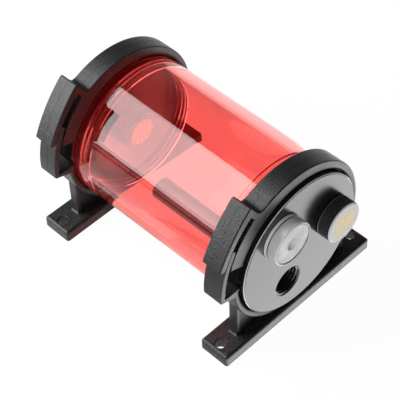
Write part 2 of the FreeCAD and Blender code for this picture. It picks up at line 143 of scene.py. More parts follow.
def joined(*parts):
    """Several (points, faces) pairs as one."""
    starts = np.cumsum([0] + [len(points) for points, _ in parts])
    faces = [[corner + start for corner in face]
             for start, (_, part_faces) in zip(starts.tolist(), parts) for face in part_faces]
    return np.concatenate([points for points, _ in parts]), faces


print("a grid of 3 by 4 points has", len(grid_faces(3, 4)), "quads")

# %% [markdown]
# ## Finished pieces
# One or more grids become a mesh. Doubled points are merged, so that seams and poles close, and all faces
# are turned outwards. Only steep edges are marked as sharp, and the Weighted Normal modifier keeps large
# flat faces flat beside their small rounded edges. Each piece rides on a body of the mechanism and stands
# for the solids that it replaces.

# %% A finished piece
SHARP_ANGLE = math.radians(38)
MERGE_DISTANCE = 2e-7


def add_piece(name, part, materials, body, nodes=(), face_material=None):
    """A piece from (points in mm, faces), riding on a body and standing for the solids named."""
    points, faces = part
    mesh = bpy.data.meshes.new(name)
    mesh.from_pydata((points * MM).tolist(), [], faces)
    for material in materials if isinstance(materials, (list, tuple)) else [materials]:
        mesh.materials.append(material)
    if face_material is not None:
        mesh.polygons.foreach_set("material_index", np.asarray(face_material, np.int32))
    shaped = bmesh.new()
    shaped.from_mesh(mesh)
    bmesh.ops.remove_doubles(shaped, verts=shaped.verts, dist=MERGE_DISTANCE)
    bmesh.ops.recalc_face_normals(shaped, faces=shaped.faces)
    open_edges = sum(not edge.is_manifold for edge in shaped.edges)
    shaped.to_mesh(mesh)
    shaped.free()
    mesh.shade_smooth()
    mesh.set_sharp_from_angle(angle=SHARP_ANGLE)
    piece = bpy.data.objects.new(name, mesh)
    bpy.context.scene.collection.objects.link(piece)
    weighted = piece.modifiers.new("flat_faces_stay_flat", "WEIGHTED_NORMAL")
    weighted.keep_sharp = True
    if body is not None:
        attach(piece, body)
    if nodes:
        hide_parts(*nodes)
    print(f"{name}: {len(mesh.polygons)} faces, {open_edges} open edges")
    return piece


print(f"edges steeper than {math.degrees(SHARP_ANGLE):.0f} degrees stay sharp")

# %% [markdown]
# ## Colours and nodes
# Colours are written as sRGB hex values, as a paint program shows them. Shaders calculate in linear
# light, so one function converts them. Another adds a node to a material with its settings, values and
# links in one call.

# %% Helpers for materials
def linear(hex_colour):
    """An sRGB hex colour as linear red, green, blue and alpha."""
    srgb = np.array([int(hex_colour[i:i + 2], 16) for i in (1, 3, 5)]) / 255
    channels = np.where(srgb <= 0.04045, srgb / 12.92, ((srgb + 0.055) / 1.055) ** 2.4)
    return (*channels.tolist(), 1.0)


def add_node(tree, kind, inputs=None, **settings):
    """One node: settings are its properties; inputs are values or sockets to link, by name or number."""
    added = tree.nodes.new(kind)
    for name, value in settings.items():
        setattr(added, name, value)
    for name, value in (inputs or {}).items():
        if isinstance(value, bpy.types.NodeSocket):
            tree.links.new(value, added.inputs[name])
        else:
            added.inputs[name].default_value = value
    return added


def new_material(name):
    """An empty node material, its tree and its output node."""
    material = bpy.data.materials.new(name)
    material.use_nodes = True
    material.node_tree.nodes.clear()
    return material, material.node_tree, add_node(material.node_tree, "ShaderNodeOutputMaterial")


def per_mm(size):
    """The scale that gives a texture features of this size in millimetres, on coordinates in metres."""
    return 1.0 / (size * MM)


print("sRGB #808080 is", round(linear("#808080")[0], 3), "in linear light")

# %% [markdown]
# ## Clip finish
# The clips are injection-moulded in black glass-filled nylon. The mould was spark-eroded, which leaves a
# fine even grain that breaks up the shine, so edges catch a soft grey light. One noise texture gives the
# grain's relief and its lighter flecks together, because on the real surface they are the same bumps. A
# second, coarser one varies the shine a little.

# %% Moulded black nylon
# To the eye: dark grey, speckled where light falls at a slant. The real grain is about 0.1 mm; it is
# drawn at 0.6 mm, because finer grain would vanish between the pixels.
NYLON_GRAIN, NYLON_RELIEF, NYLON_CLOUD = 0.6, 0.17, 9.0

clip_nylon, tree, output = new_material("moulded_black_nylon")
place = add_node(tree, "ShaderNodeTexCoord").outputs["Object"]
grain = add_node(tree, "ShaderNodeTexNoise", {
    "Vector": place, "Scale": per_mm(NYLON_GRAIN), "Detail": 2.0, "Roughness": 0.6})
cloud = add_node(tree, "ShaderNodeTexNoise", {
    "Vector": place, "Scale": per_mm(NYLON_CLOUD), "Detail": 3.0})
shine = add_node(tree, "ShaderNodeMapRange", {
    "Value": cloud.outputs["Fac"], "To Min": 0.32, "To Max": 0.42})
relief = add_node(tree, "ShaderNodeBump", {
    "Height": grain.outputs["Fac"], "Strength": 1.0, "Distance": NYLON_RELIEF * MM})
fleck = add_node(tree, "ShaderNodeMapRange", {
    "Value": grain.outputs["Fac"], "From Min": 0.35, "From Max": 0.65})
tint = add_node(tree, "ShaderNodeMix", {
    "Factor": fleck.outputs["Result"], 6: linear("#030303"), 7: linear("#242425")}, data_type="RGBA")
surface = add_node(tree, "ShaderNodeBsdfPrincipled", {
    "Base Color": tint.outputs[2], "Roughness": shine.outputs["Result"], "IOR": 1.46,
    "Normal": relief.outputs["Normal"]})
tree.links.new(surface.outputs["BSDF"], output.inputs["Surface"])
print(f"{clip_nylon.name}: grain {NYLON_GRAIN} mm")

# %% [markdown]
# ## Window wall in painted shade
# Behind the small window in each latch stands a thin wall. It is painted in shade: a near-black finish of
# its own without a sheen, so that the window stays as dark as deep shadow. A darker tint of the clips' own
# finish would still catch light at a slant.

# %% Nylon in painted shade
# To the eye: almost black from every side, painted shade.
window_painted_shade, tree, output = new_material("black_nylon_in_painted_shade")
place = add_node(tree, "ShaderNodeTexCoord").outputs["Object"]
grain = add_node(tree, "ShaderNodeTexNoise", {"Vector": place, "Scale": per_mm(NYLON_GRAIN)})
tint = add_node(tree, "ShaderNodeMix", {
    "Factor": grain.outputs["Fac"], 6: linear("#080808"), 7: linear("#0e0e0e")}, data_type="RGBA")
surface = add_node(tree, "ShaderNodeBsdfPrincipled", {
    "Base Color": tint.outputs[2], "Roughness": 0.9, "IOR": 1.2})
tree.links.new(surface.outputs["BSDF"], output.inputs["Surface"])
print(f"{window_painted_shade.name}: roughness {surface.inputs['Roughness'].default_value:.1f}")

# %% [markdown]
# ## Outlines
# A clip is a flat moulding: one outline, carried across the clip's width, with its edges rounded. An
# outline is a run of arcs and straight lines sampled every fraction of a millimetre. Each point also
# carries how far the edge is rounded there. Corners are softened by moving each point to a Gaussian mean
# of its neighbours, which leaves arcs as they are and turns a corner into a small curve. The saw teeth
# are kept crisp.

# %% Sampled lines and arcs
SAMPLE = 0.25
CUT, CRISP, SOFT, ROUND, FILLET = -1.0, 0.0, 1.0, 2.0, 3.0
CORNER_REACH = {SOFT: 0.3, ROUND: 0.75, FILLET: 1.7}


def along(points, edge, kind=SOFT):
    """Outline points with their edge radius and how they are treated."""
    points = np.atleast_2d(points)
    return np.column_stack([points, np.full(len(points), edge), np.full(len(points), kind)])


def polar(radius, degrees, centre=(0.0, 0.0)):
    """Points at a radius and angles from +X towards +Z."""
    angle = np.radians(degrees)
    return np.stack([centre[0] + radius * np.cos(angle), centre[1] + radius * np.sin(angle)], axis=-1)


def arc(radius, start, end, centre=(0.0, 0.0)):
    """Points on an arc from a start to an end angle, without its last point."""
    count = max(2, int(abs(math.radians(end - start)) * radius / SAMPLE))
    return polar(radius, np.linspace(start, end, count, endpoint=False), centre)


def line(start, end):
    """Points on a straight line, without its last point."""
    start, end = np.asarray(start, float), np.asarray(end, float)
    count = max(1, int(np.linalg.norm(end - start) / SAMPLE))
    return start + (end - start) * np.linspace(0, 1, count, endpoint=False)[:, None]


def bow(start, end, radius, side):
    """Points on the shorter arc of a radius between two points, bulging to their left or right (1 or -1)."""
    start, end = np.asarray(start, float), np.asarray(end, float)
    chord = end - start
    half = np.linalg.norm(chord) / 2
    left = np.array([-chord[1], chord[0]]) / (2 * half)
    centre = start + chord / 2 - left * side * math.sqrt(radius ** 2 - half ** 2)
    first, last = (np.degrees(np.arctan2(*(point - centre)[::-1])) for point in (start, end))
    turn = (last - first + 180) % 360 - 180
    return arc(radius, first, first + turn, centre)


def softened(*stretches):
    """One closed outline of stretches, its corners rounded by a Gaussian mean along it."""
    outline = np.concatenate(stretches)
    rounded_off, kind = outline[:, :3], outline[:, 3:]
    for wanted, reach in CORNER_REACH.items():
        shifts = np.arange(-int(3 * reach / SAMPLE), int(3 * reach / SAMPLE) + 1)
        weights = np.exp(-0.5 * (shifts * SAMPLE / reach) ** 2)
        mean = sum(w * np.roll(outline[:, :3], -s, axis=0) for w, s in zip(weights / weights.sum(), shifts))
        rounded_off = np.where(kind == wanted, mean, rounded_off)
    return np.column_stack([rounded_off, kind])


print("a circle of 10 mm radius is sampled at", len(arc(10, 0, 360)), "points")

# %% [markdown]
# ## Plates
# A flat moulding is its outline carried from one face to the other. Its side is a grid with the outline's
# points as columns, and the rows follow a quarter circle at each rim. That rounds the edges without a
# Bevel modifier, and each stretch can have a radius of its own. Blender's tessellation fills the two flat
# faces, holes and all. Where the halves of a mould meet they leave a fine parting line, drawn as a small
# ridge halfway.

# %% Solids between two faces with rounded edges
EDGE_STEPS = 4
LEAST_MITRE = 0.35


def inward(outline):
    """At each point, the mitred direction into the solid, left of the outline's run."""
    run = np.roll(outline[:, :2], -1, axis=0) - outline[:, :2]
    run = run / np.linalg.norm(run, axis=1, keepdims=True)
    after = np.column_stack([-run[:, 1], run[:, 0]])
    before = np.roll(after, 1, axis=0)
    share = np.maximum(1 + (before * after).sum(axis=1), LEAST_MITRE)[:, None]
    cut = outline[:, 3] < 0
    cut_starts = cut & np.roll(cut, -1)
    cut_ends = cut & np.roll(cut, 1)
    mitre = (before + after) / share
    mitre = np.where(cut_starts[:, None], before, mitre)
    return np.where(cut_ends[:, None], after, mitre)


def counter_clockwise(outline, wanted=True):
    """The outline turned round if it doesn't run the way that is wanted."""
    x, y = outline[:, 0], outline[:, 1]
    area = (x * np.roll(y, -1) - y * np.roll(x, -1)).sum()
    return outline if (area > 0) == wanted else outline[::-1]


def plate(outlines, low, high, low_edge=1.0, seam=0.0):
    """A solid between two faces, as points (u, v, w) and faces: the first outline with the others as holes.

    Its edges are quarter circles: at angle t a point has moved in by edge * (1 - cos t) and stands
    edge * (1 - sin t) short of the face. A seam is a fine ridge halfway between the faces, as high as wide.
    """
    quarter = np.linspace(0, math.pi / 2, EDGE_STEPS + 1)[:, None]
    parts, low_loops, high_loops = [], [], []
    for number, outline in enumerate(outlines):
        outline = counter_clockwise(outline, wanted=number == 0)
        places, edge, into = outline[:, :2], outline[:, 2], inward(outline)
        rows = []
        for face, share, sign, angles in ((low, low_edge, 1, quarter[::-1]), (high, 1.0, -1, quarter)):
            moved = (edge * share * (1 - np.cos(angles)))[..., None] * into
            height = face + sign * edge * share * (1 - np.sin(angles))
            rows.append(np.concatenate([places + moved, height[..., None]], axis=-1))
        if seam:
            line_moved = np.array([0.0, -seam, 0.0])[:, None, None] * into
            line_height = np.broadcast_to(((low + high) / 2 + np.array([-seam, 0, seam]))[:, None, None],
                                          line_moved[..., :1].shape)
            rows.insert(1, np.concatenate([places + line_moved, line_height], axis=-1))
        grid = np.concatenate(rows)
        parts.append((grid.reshape(-1, 3), grid_faces(len(grid), len(outline), wrap_columns=True)))
        low_loops.append(grid[0])
        high_loops.append(grid[-1])
    for loops in (low_loops, high_loops):
        flat = np.concatenate(loops)
        parts.append((flat, [list(face) for face in tessellate_polygon([loop.tolist() for loop in loops])]))
    return joined(*parts)


def across(part, y, z=0.0):
    """A plate whose outline lies in XZ, moved to a place along Y."""
    points, faces = part
    return points[:, [0, 2, 1]] + np.array([0.0, y, z]), faces


print("rims are rounded in", EDGE_STEPS, "steps")

# %% [markdown]
# ## The ring clips
# On the real object ring, foot and latch are one moulding, thin on the right where the ring bends open,
# and thick on the left where it latches. The hook on the upper half has a slot with saw teeth; the arm on
# the lower half slides up into that slot. The same radii and angles as in the solids give both outlines,
# about the tube's axis for the ring and about a centre beside it for the latch. They could be cut out of
# tubes with Boolean modifiers, but an outline keeps every tooth and rounded edge in hand.

# %% Sizes of the ring and its latch
CLIP_CLEARANCE, RING_WALL, CRESCENT_SWELL, CRESCENT_WALL = 0.1, 2.5, 2.4, 7.2
BORE_R = TUBE_R + CLIP_CLEARANCE
RING_R = BORE_R + RING_WALL
CRESCENT_R, CRESCENT_ANGLE = RING_R + CRESCENT_SWELL, 15.0
NOTCH_R, NOTCH_ANGLE = BORE_R + CRESCENT_WALL, 122.5
FLEX_START, FLEX_END = -20.5, -8.0

LATCH = (0.9, 1.5)
ARM_R, ARM_THICK, ARM_TIP = 40.7, 1.7, 148.0
ARM_IN_R = ARM_R - ARM_THICK
SHELF_ANGLE, SHELF_THICK, SHELF_ROOT = 178.5, 2.4, 3.6

BORE_EDGE, RING_EDGE, LATCH_EDGE, TOOTH_EDGE = 1.55, 0.55, 0.4, 0.05
PARTING_LINE = 0.05
ring_face = {"low": -CLIP_WIDTH / 2, "high": CLIP_WIDTH / 2, "seam": PARTING_LINE}
print(f"bore {BORE_R:.1f} mm, ring {RING_R:.1f} mm, latch arm {ARM_R:.1f} mm in radius")

# %% [markdown]
# ## Lower half of a clip
# The lower outline runs round the ring, along the shelf below the latch and up the outside of the arm,
# and comes back down the arm's inside over its saw teeth. A tooth is two points, one at its foot and one
# at its tip, and these are left out of the softening, so that they stay crisp.

# %% Saw teeth and the lower half
# The teeth are 0.45 mm high in the solids and drawn at 0.6 mm, so that they show.
TOOTH_PITCH, TOOTH_HEIGHT = 1.85, 0.6


def saw(radius, rise, start, end, steep_first):
    """Saw teeth along an arc about the latch's centre, two points a tooth."""
    count = int((end - start) / TOOTH_PITCH) - 1
    first = start + TOOTH_PITCH * (0.5 + np.arange(count))
    inner, tips = polar(radius, first, LATCH), polar(radius + rise, first + TOOTH_PITCH, LATCH)
    if steep_first:
        inner, tips = polar(radius + rise, first, LATCH), polar(radius, first + TOOTH_PITCH, LATCH)
    teeth = np.stack([inner, tips], axis=1).reshape(-1, 2)
    return along(teeth, TOOTH_EDGE, CRISP)


def base_outline():
    """Lower half of the ring from the bend to the shelf, with the latch's toothed arm."""
    shelf_z = BORE_R * math.sin(math.radians(SHELF_ANGLE))
    floor_x = LATCH[0] - math.sqrt(ARM_IN_R ** 2 - (shelf_z - LATCH[1]) ** 2)
    arm_foot_z = shelf_z - SHELF_THICK / 2
    arm_foot = np.array([LATCH[0] - math.sqrt(ARM_R ** 2 - (arm_foot_z - LATCH[1]) ** 2), arm_foot_z])
    root_z = shelf_z - SHELF_ROOT
    root = np.array([-math.sqrt(RING_R ** 2 - root_z ** 2), root_z])
    root_angle = math.degrees(math.atan2(*root[::-1])) % 360
    foot_angle = math.degrees(math.atan2(arm_foot[1] - LATCH[1], arm_foot[0] - LATCH[0])) % 360
    tip_in = polar(ARM_IN_R, ARM_TIP, LATCH)
    floor = np.array([floor_x, shelf_z])
    return softened(
        along(polar(RING_R, FLEX_START), RING_EDGE, CUT),
        along(arc(RING_R, FLEX_START, root_angle - 360)[1:], RING_EDGE),
        along(line(root, arm_foot), LATCH_EDGE),
        along(arc(ARM_R, foot_angle, ARM_TIP, LATCH), LATCH_EDGE),
        along(line(polar(ARM_R, ARM_TIP, LATCH), tip_in), TOOTH_EDGE),
        along(tip_in, TOOTH_EDGE, CRISP),
        saw(ARM_IN_R, -TOOTH_HEIGHT, ARM_TIP, SHELF_ANGLE, steep_first=False),
        along(line(floor, polar(BORE_R, SHELF_ANGLE)), LATCH_EDGE),
        along(arc(BORE_R, SHELF_ANGLE, 360 + FLEX_START), BORE_EDGE),
        along(polar(BORE_R, FLEX_START), BORE_EDGE, CUT),
    )


print("lower half:", len(base_outline()), "points")

# %% [markdown]
# ## Upper half of a clip
# The strap swells to a crescent, drops in a rounded notch and ends in the hook. The hook holds the slot
# for the arm, with teeth on both walls. A fine line crosses the hook's back where two parts of the mould
# met; it is a single point of the outline, moved out a little.

# %% The upper half
TOOTH_GAP, SLOT_TOOTH = 0.2, 0.28
TONGUE_R, TONGUE_END = ARM_IN_R - 2 * TOOTH_HEIGHT - TOOTH_GAP, 161.0
SLOT_CLEARANCE, HOOK_END_WALL, HOOK_TOP_WALL = 0.35, 2.7, 4.55
SLOT_R, SLOT_END = ARM_R + SLOT_CLEARANCE, 128.5
HOOK_END_R, HOOK_END, HOOK_ARC_R = SLOT_R + HOOK_END_WALL, 159.5, 62.0
HOOK_TOP_R = SLOT_R + HOOK_TOP_WALL
FILLET_SPAN = 6.5
MARK_PLACE, MARK_HEIGHT = 0.15, 0.07


def strap_outline():
    """Upper half of the ring from the bend to the slotted hook."""
    tongue_tip = polar(TONGUE_R, TONGUE_END, LATCH)
    tongue_angle = math.degrees(math.atan2(*tongue_tip[::-1]))
    teeth = saw(TONGUE_R, TOOTH_HEIGHT, SLOT_END, TONGUE_END, steep_first=True)[::-1]
    slot_teeth = saw(SLOT_R, -SLOT_TOOTH, SLOT_END, HOOK_END, steep_first=True)
    hook_end, hook_top = polar(HOOK_END_R, HOOK_END, LATCH), polar(HOOK_TOP_R, NOTCH_ANGLE)
    notch, crescent = polar(NOTCH_R, NOTCH_ANGLE), polar(RING_R, CRESCENT_ANGLE)
    riser = (hook_top + notch) / 2
    span = int(FILLET_SPAN / SAMPLE)
    hook_back, crescent_back = bow(hook_end, hook_top, HOOK_ARC_R, 1), bow(notch, crescent, CRESCENT_R, 1)
    mark = int(MARK_PLACE * len(hook_back))
    hook_back[mark] *= 1 + MARK_HEIGHT / np.linalg.norm(hook_back[mark])
    return softened(
        along(polar(BORE_R, FLEX_END), BORE_EDGE, CUT),
        along(arc(BORE_R, FLEX_END, tongue_angle)[1:], BORE_EDGE),
        along(line(polar(BORE_R, tongue_angle), tongue_tip), LATCH_EDGE),
        along(tongue_tip, TOOTH_EDGE, CRISP),
        teeth,
        along(line(polar(TONGUE_R, SLOT_END, LATCH), polar(SLOT_R, SLOT_END, LATCH)), TOOTH_EDGE, CRISP),
        slot_teeth,
        along(line(polar(SLOT_R, HOOK_END, LATCH), hook_end), LATCH_EDGE),
        along(hook_back[:mark], RING_EDGE),
        along(hook_back[mark], RING_EDGE, CRISP),
        along(hook_back[mark + 1:-span], RING_EDGE),
        along(hook_back[-span:], RING_EDGE, ROUND),
        along(line(hook_top, riser), RING_EDGE, ROUND),
        along(line(riser, notch), RING_EDGE, FILLET),
        along(crescent_back[:span], RING_EDGE, FILLET),
        along(crescent_back[span:], RING_EDGE),
        along(arc(RING_R, CRESCENT_ANGLE, FLEX_END), RING_EDGE),
        along(polar(RING_R, FLEX_END), RING_EDGE, CUT),
    )


print("upper half:", len(strap_outline()), "points")

# %% [markdown]
# ## Window wall and bend
# Below the tongue a thin inner wall closes the window towards the tube, set back from both faces. The
# bend is the thin stretch of the ring opposite the latch. It is a piece of its own, because it has to
# curve when the clip opens.

# %% The window's wall and the bend
LIP_START, LIP_END, LIP_SAMPLES = 157.0, 175.5, 40
LIP_WALL, LIP_RELIEF, LIP_RECESS, LIP_EDGE = 1.6, 0.9, 1.2, 0.2


def lip_outline():
    """The thin wall inside the window, from the tongue's root down to the shelf, clear of the tube."""
    angle = np.linspace(LIP_START, LIP_END, LIP_SAMPLES)
    inner = BORE_R + LIP_RELIEF * (angle - LIP_START) / (LIP_END - LIP_START)
    outer = polar(BORE_R + LIP_WALL, angle[::-1])
    return along(np.concatenate([polar(inner, angle), outer]), LIP_EDGE, CRISP)


def flexure_outline():
    """The thin stretch of the ring that bends when the clip opens, cut at both ends."""
    return softened(
        along(polar(BORE_R, FLEX_START), BORE_EDGE, CUT),
        along(arc(BORE_R, FLEX_START, FLEX_END)[1:], BORE_EDGE),
        along(polar(BORE_R, FLEX_END), BORE_EDGE, CUT),
        along(polar(RING_R, FLEX_END), RING_EDGE, CUT),
        along(arc(RING_R, FLEX_END, FLEX_START)[1:], RING_EDGE),
        along(polar(RING_R, FLEX_START), RING_EDGE, CUT),
    )


print("window wall:", len(lip_outline()), "points, bend:", len(flexure_outline()), "points")

# %% [markdown]
# ## Foot bar
# The foot is a flat bar with a screw hole near each end. Its upper rim is well rounded and its lower rim
# only eased, because it stands flat. It is a plate like the ring, lying down, with the holes as further
# outlines. A Boolean modifier could drill them, but an outline also rounds each hole's rim.

# %% The foot bar
FOOT_HEIGHT, FOOT_ROUND, FOOT_LOW_EDGE = 5.0, 1.1, 0.25
BOLT_EDGE, BOLT_R, BOLT_RIM = 3.7, 2.15, 0.25
BOLT_X = FOOT_LENGTH / 2 - BOLT_EDGE


def foot_bar():
    """The bar: a rectangle with quarter circles for corners and two round holes, from floor to top."""
    half_x, half_y = FOOT_LENGTH / 2 - FOOT_ROUND, FOOT_WIDTH / 2 - FOOT_ROUND
    rim = np.concatenate([
        arc(FOOT_ROUND, start, start + 90, (side_x * half_x, side_y * half_y))
        for start, side_x, side_y in ((0, 1, 1), (90, -1, 1), (180, -1, -1), (270, 1, -1))])
    holes = [along(arc(BOLT_R, 0, 360, (side * BOLT_X, 0.0)), BOLT_RIM, CRISP) for side in (-1, 1)]
    return plate([along(rim, FOOT_ROUND, CRISP), *holes], 0.0, FOOT_HEIGHT, low_edge=FOOT_LOW_EDGE)


print("foot bar:", len(foot_bar()[1]), "faces")

# %% [markdown]
# ## Pedestal
# A thin web with a flange at each side stands on the bar and carries the ring. All three are the same
# wall with other measures, so one function draws them. They run a little way into the bar and the ring,
# as one moulding would run through, and flare out where they meet the bar.

# %% The pedestal
WEB_THICK, WEB_EDGE, WEB_FLARE, WEB_OVERLAP = 2.6, 0.05, 0.1, 0.5
FLANGE_WIDTH, FLANGE_THICK, FLANGE_EDGE, FLANGE_FLARE = 4.2, 1.8, 0.35, 0.9
PEDESTAL_INSET, PEDESTAL_SINK = 3.1, 0.4
PEDESTAL_X, PEDESTAL_R = RING_R - PEDESTAL_INSET, RING_R - PEDESTAL_SINK
FOOT_TOP = FOOT_HEIGHT - AXIS_Z


def upright(left, right, width, edge, flare):
    """A wall between two places along X: straight sides, a quarter circle out at the foot, an arc on top."""
    floor, bend = FOOT_TOP - PEDESTAL_SINK, FOOT_TOP + flare
    tops = [np.array([x, -math.sqrt(PEDESTAL_R ** 2 - x ** 2)]) for x in (right, left)]
    outline = np.concatenate([
        line((left - flare, floor), (right + flare, floor)),
        line((right + flare, floor), (right + flare, FOOT_TOP)),
        arc(flare, 270, 180, (right + flare, bend)),
        line((right, bend), tops[0]),
        bow(tops[0], tops[1], PEDESTAL_R, 1),
        line(tops[1], (left, bend)),
        arc(flare, 0, -90, (left - flare, bend)),
        line((left - flare, FOOT_TOP), (left - flare, floor)),
    ])
    return across(plate([along(outline, edge)], -width / 2, width / 2), 0.0, AXIS_Z)


def clip_base():
    """Ring half, arm, foot bar, web and flanges of one clip."""
    inside = PEDESTAL_X - FLANGE_THICK
    web_end = inside + WEB_OVERLAP
    return joined(
        across(plate([base_outline()], **ring_face), 0.0, AXIS_Z),
        foot_bar(),
        upright(-web_end, web_end, WEB_THICK, WEB_EDGE, WEB_FLARE),
        upright(-PEDESTAL_X, -inside, FLANGE_WIDTH, FLANGE_EDGE, FLANGE_FLARE),
        upright(inside, PEDESTAL_X, FLANGE_WIDTH, FLANGE_EDGE, FLANGE_FLARE),
    )


print("base of a clip:", len(clip_base()[1]), "faces")

# %% [markdown]
# ## Both clips
# The rear clip is the front one again, moved along the tube. Each base rides on the fixed body, and each
# strap on a body of its own. The bend is a piece of its own, on no body. An Array modifier could repeat a
# whole clip, but then both would open together.

# %% Both clips in place
for end, place_y in (("front", -CLIP_Y), ("rear", CLIP_Y)):
    points, faces = clip_base()
    add_piece(f"{end}_clip_base_moulding", (points + [0, place_y, 0], faces), clip_nylon, "frame",
              [f"{end}_clip_base"])
    lip_face = CLIP_WIDTH / 2 - LIP_RECESS
    hook, lip = plate([strap_outline()], **ring_face), plate([lip_outline()], -lip_face, lip_face)
    # The window wall takes the nylon in painted shade.
    painted_shade_faces = np.repeat([0, 1], [len(hook[1]), len(lip[1])])
    add_piece(f"{end}_clip_strap_moulding", across(joined(hook, lip), place_y, AXIS_Z),
              [clip_nylon, window_painted_shade], f"{end}_strap", [f"{end}_clip_strap"], painted_shade_faces)
    bend = add_piece(f"{end}_clip_bend", across(plate([flexure_outline()], **ring_face), place_y, AXIS_Z),
                     clip_nylon, None)
    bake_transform(bend)

# %% [markdown]
# ## Turned pieces and threads
# Tube, caps and plugs are turned, so each is a profile spun about an axis along Y. A thread is the same
# surface with its radius changed along a helix: the change depends on distance along the axis and on the
# angle, and repeats once a pitch. Both sides of a thread use one function, so a screw and its hole fit at
# every turn. Blender's Screw modifier spins profiles too, but a thread made with it can't fade out at its
# ends.

# %% Profiles spun about an axis, with threads
TURNS = 192


def rounded(corners, edge, steps=3):
    """A profile with its corners rounded: each becomes a short quadratic curve between its two sides.

    Corners are (radius, distance along Y), the first and last stay as they are.
    """
    corners = np.asarray(corners, float)
    inner = corners[1:-1]
    reach = np.minimum.reduce([
        np.full(len(inner), edge),
        0.45 * np.linalg.norm(inner - corners[:-2], axis=1),
        0.45 * np.linalg.norm(inner - corners[2:], axis=1)])[:, None]
    sides = corners[:-2] - inner, corners[2:] - inner
    unit = [side / np.linalg.norm(side, axis=1, keepdims=True) for side in sides]
    starts, ends = inner + unit[0] * reach, inner + unit[1] * reach
    t = np.linspace(0, 1, steps + 1)[None, :, None]
    curves = (1 - t) ** 2 * starts[:, None] + 2 * t * (1 - t) * inner[:, None] + t ** 2 * ends[:, None]
    return plain(np.concatenate([corners[:1], curves.reshape(-1, 2), corners[-1:]]))


def plain(corners):
    """Profile points with no thread on them."""
    corners = np.asarray(corners, float)
    return np.column_stack([corners, np.zeros(len(corners))])


def threaded(radius, start, end, pitch, depth):
    """A threaded stretch of a profile: points along Y, with a depth that fades out at both ends."""
    count = max(8, int(abs(end - start) / pitch * 12))
    share = np.linspace(0, 1, count)
    fade = np.clip(np.minimum(share, 1 - share) * abs(end - start) / (0.35 * pitch), 0, 1)
    return np.column_stack([np.full(count, radius), start + (end - start) * share, depth * fade])


def ridge(turn):
    """The thread's wave: 1 on a ridge, 0 in a groove, with short flats and straight flanks."""
    return np.clip(np.abs(2 * (turn % 1) - 1) * 1.7 - 0.35, 0, 1)


def spun(profile, pitch=1.0, centre=(0.0, 0.0), turns=TURNS, closed=False):
    """A profile (radius, y, thread depth) spun about an axis along Y.

    A point at angle a stands at centre + radius * (cos a, sin a); on a thread, the radius is less by
    depth * ridge(y / pitch + a / 360 degrees), a right-hand helix.
    """
    angle = np.linspace(0, 2 * math.pi, turns, endpoint=False)[:, None]
    reach, y, depth = profile.T
    reach = reach - depth * ridge(y / pitch + angle / (2 * math.pi))
    y = np.broadcast_to(y, reach.shape)
    x, z = reach * np.cos(angle), reach * np.sin(angle)
    points = np.stack([centre[0] + x, y, AXIS_Z + centre[1] + z], axis=-1)
    return points.reshape(-1, 3), grid_faces(*reach.shape, wrap_rows=True, wrap_columns=closed)


print("a turned piece has", TURNS, "steps round its axis")

# %% [markdown]
# ## Flat faces with holes
# The flat face of a cap is a disc with round holes in it. Its rim and its holes are rings of points with
# the same steps as the spun pieces that meet them, and Blender's tessellation fills the space between.
# Holes cut with a Boolean modifier would not meet the ports' walls point for point.

# %% A disc with holes
def disc_with_holes(y, radius, holes, turns=TURNS, hole_turns=96):
    """A flat face across Y, with round holes (x, z, radius)."""
    def ring(reach, count, x=0.0, z=0.0):
        """Points on a circle: centre + reach * (cos a, sin a), the centre measured from the tube's axis."""
        angle = np.linspace(0, 2 * math.pi, count, endpoint=False)
        across_x, up_z = reach * np.cos(angle), reach * np.sin(angle)
        return np.stack([x + across_x, np.full(count, y), AXIS_Z + z + up_z], axis=-1)

    loops = [ring(radius, turns)] + [ring(reach, hole_turns, x, z) for x, z, reach in holes]
    flat = [(loop[:, [0, 2, 1]] * [1, 1, 0]).tolist() for loop in loops]
    return np.concatenate(loops), [list(face) for face in tessellate_polygon(flat)]


print("a disc with one hole has", len(disc_with_holes(0.0, 10.0, [(0.0, 0.0, 4.0)])[1]), "triangles")

# %% [markdown]
# ## Red acrylic
# Cast acrylic, dyed red and polished. It bends light as glass does (IOR 1.49), mirrors about 4 % of what
# stands in front of it, and tints what is behind each wall. A Principled shader with full transmission
# does that. Lamps can't find their way through bent glass, so for shadow and diffuse rays the surface is
# a plain tinted Transparent shader: what stands inside the tube is then lit in red, as it should be. A
# very weak red emission stands for the light that wanders about inside the dyed wall.

# %% Cast red acrylic
# To the eye: clear and deep red, paler where only one wall is looked through, with sharp reflections.
ACRYLIC_WALL, ACRYLIC_GLOW, GLOW_STRENGTH = "#ffa19c", "#ff1a16", 0.03


def clear_plastic(name, wall_colour, glow_colour, glow):
    """A transparent plastic: glass to the eye, tinted and open for the light that falls through it."""
    material, tree, output = new_material(name)
    wall = linear(wall_colour)
    glass = add_node(tree, "ShaderNodeBsdfPrincipled", {
        "Base Color": wall, "Roughness": 0.0, "IOR": 1.49, "Transmission Weight": 1.0,
        "Emission Color": linear(glow_colour), "Emission Strength": glow})
    one_face = (*[math.sqrt(channel) for channel in wall[:3]], 1.0)
    opened = add_node(tree, "ShaderNodeBsdfTransparent", {"Color": one_face})
    path = add_node(tree, "ShaderNodeLightPath")
    passing = add_node(tree, "ShaderNodeMath", {
        0: path.outputs["Is Shadow Ray"], 1: path.outputs["Is Diffuse Ray"]}, operation="MAXIMUM")
    mixed = add_node(tree, "ShaderNodeMixShader", {
        0: passing.outputs[0], 1: glass.outputs["BSDF"], 2: opened.outputs["BSDF"]})
    tree.links.new(mixed.outputs["Shader"], output.inputs["Surface"])
    return material


tube_acrylic = clear_plastic("cast_red_acrylic", ACRYLIC_WALL, ACRYLIC_GLOW, GLOW_STRENGTH)

print(f"{tube_acrylic.name}: wall {ACRYLIC_WALL}, glow {GLOW_STRENGTH}")

# %% [markdown]
# ## The tube
# A thick-walled tube with a wider, threaded socket cut into each end for the cap. Through the wall the
# socket's shoulder and the turns of its thread show as fine bright lines, so both are real geometry.

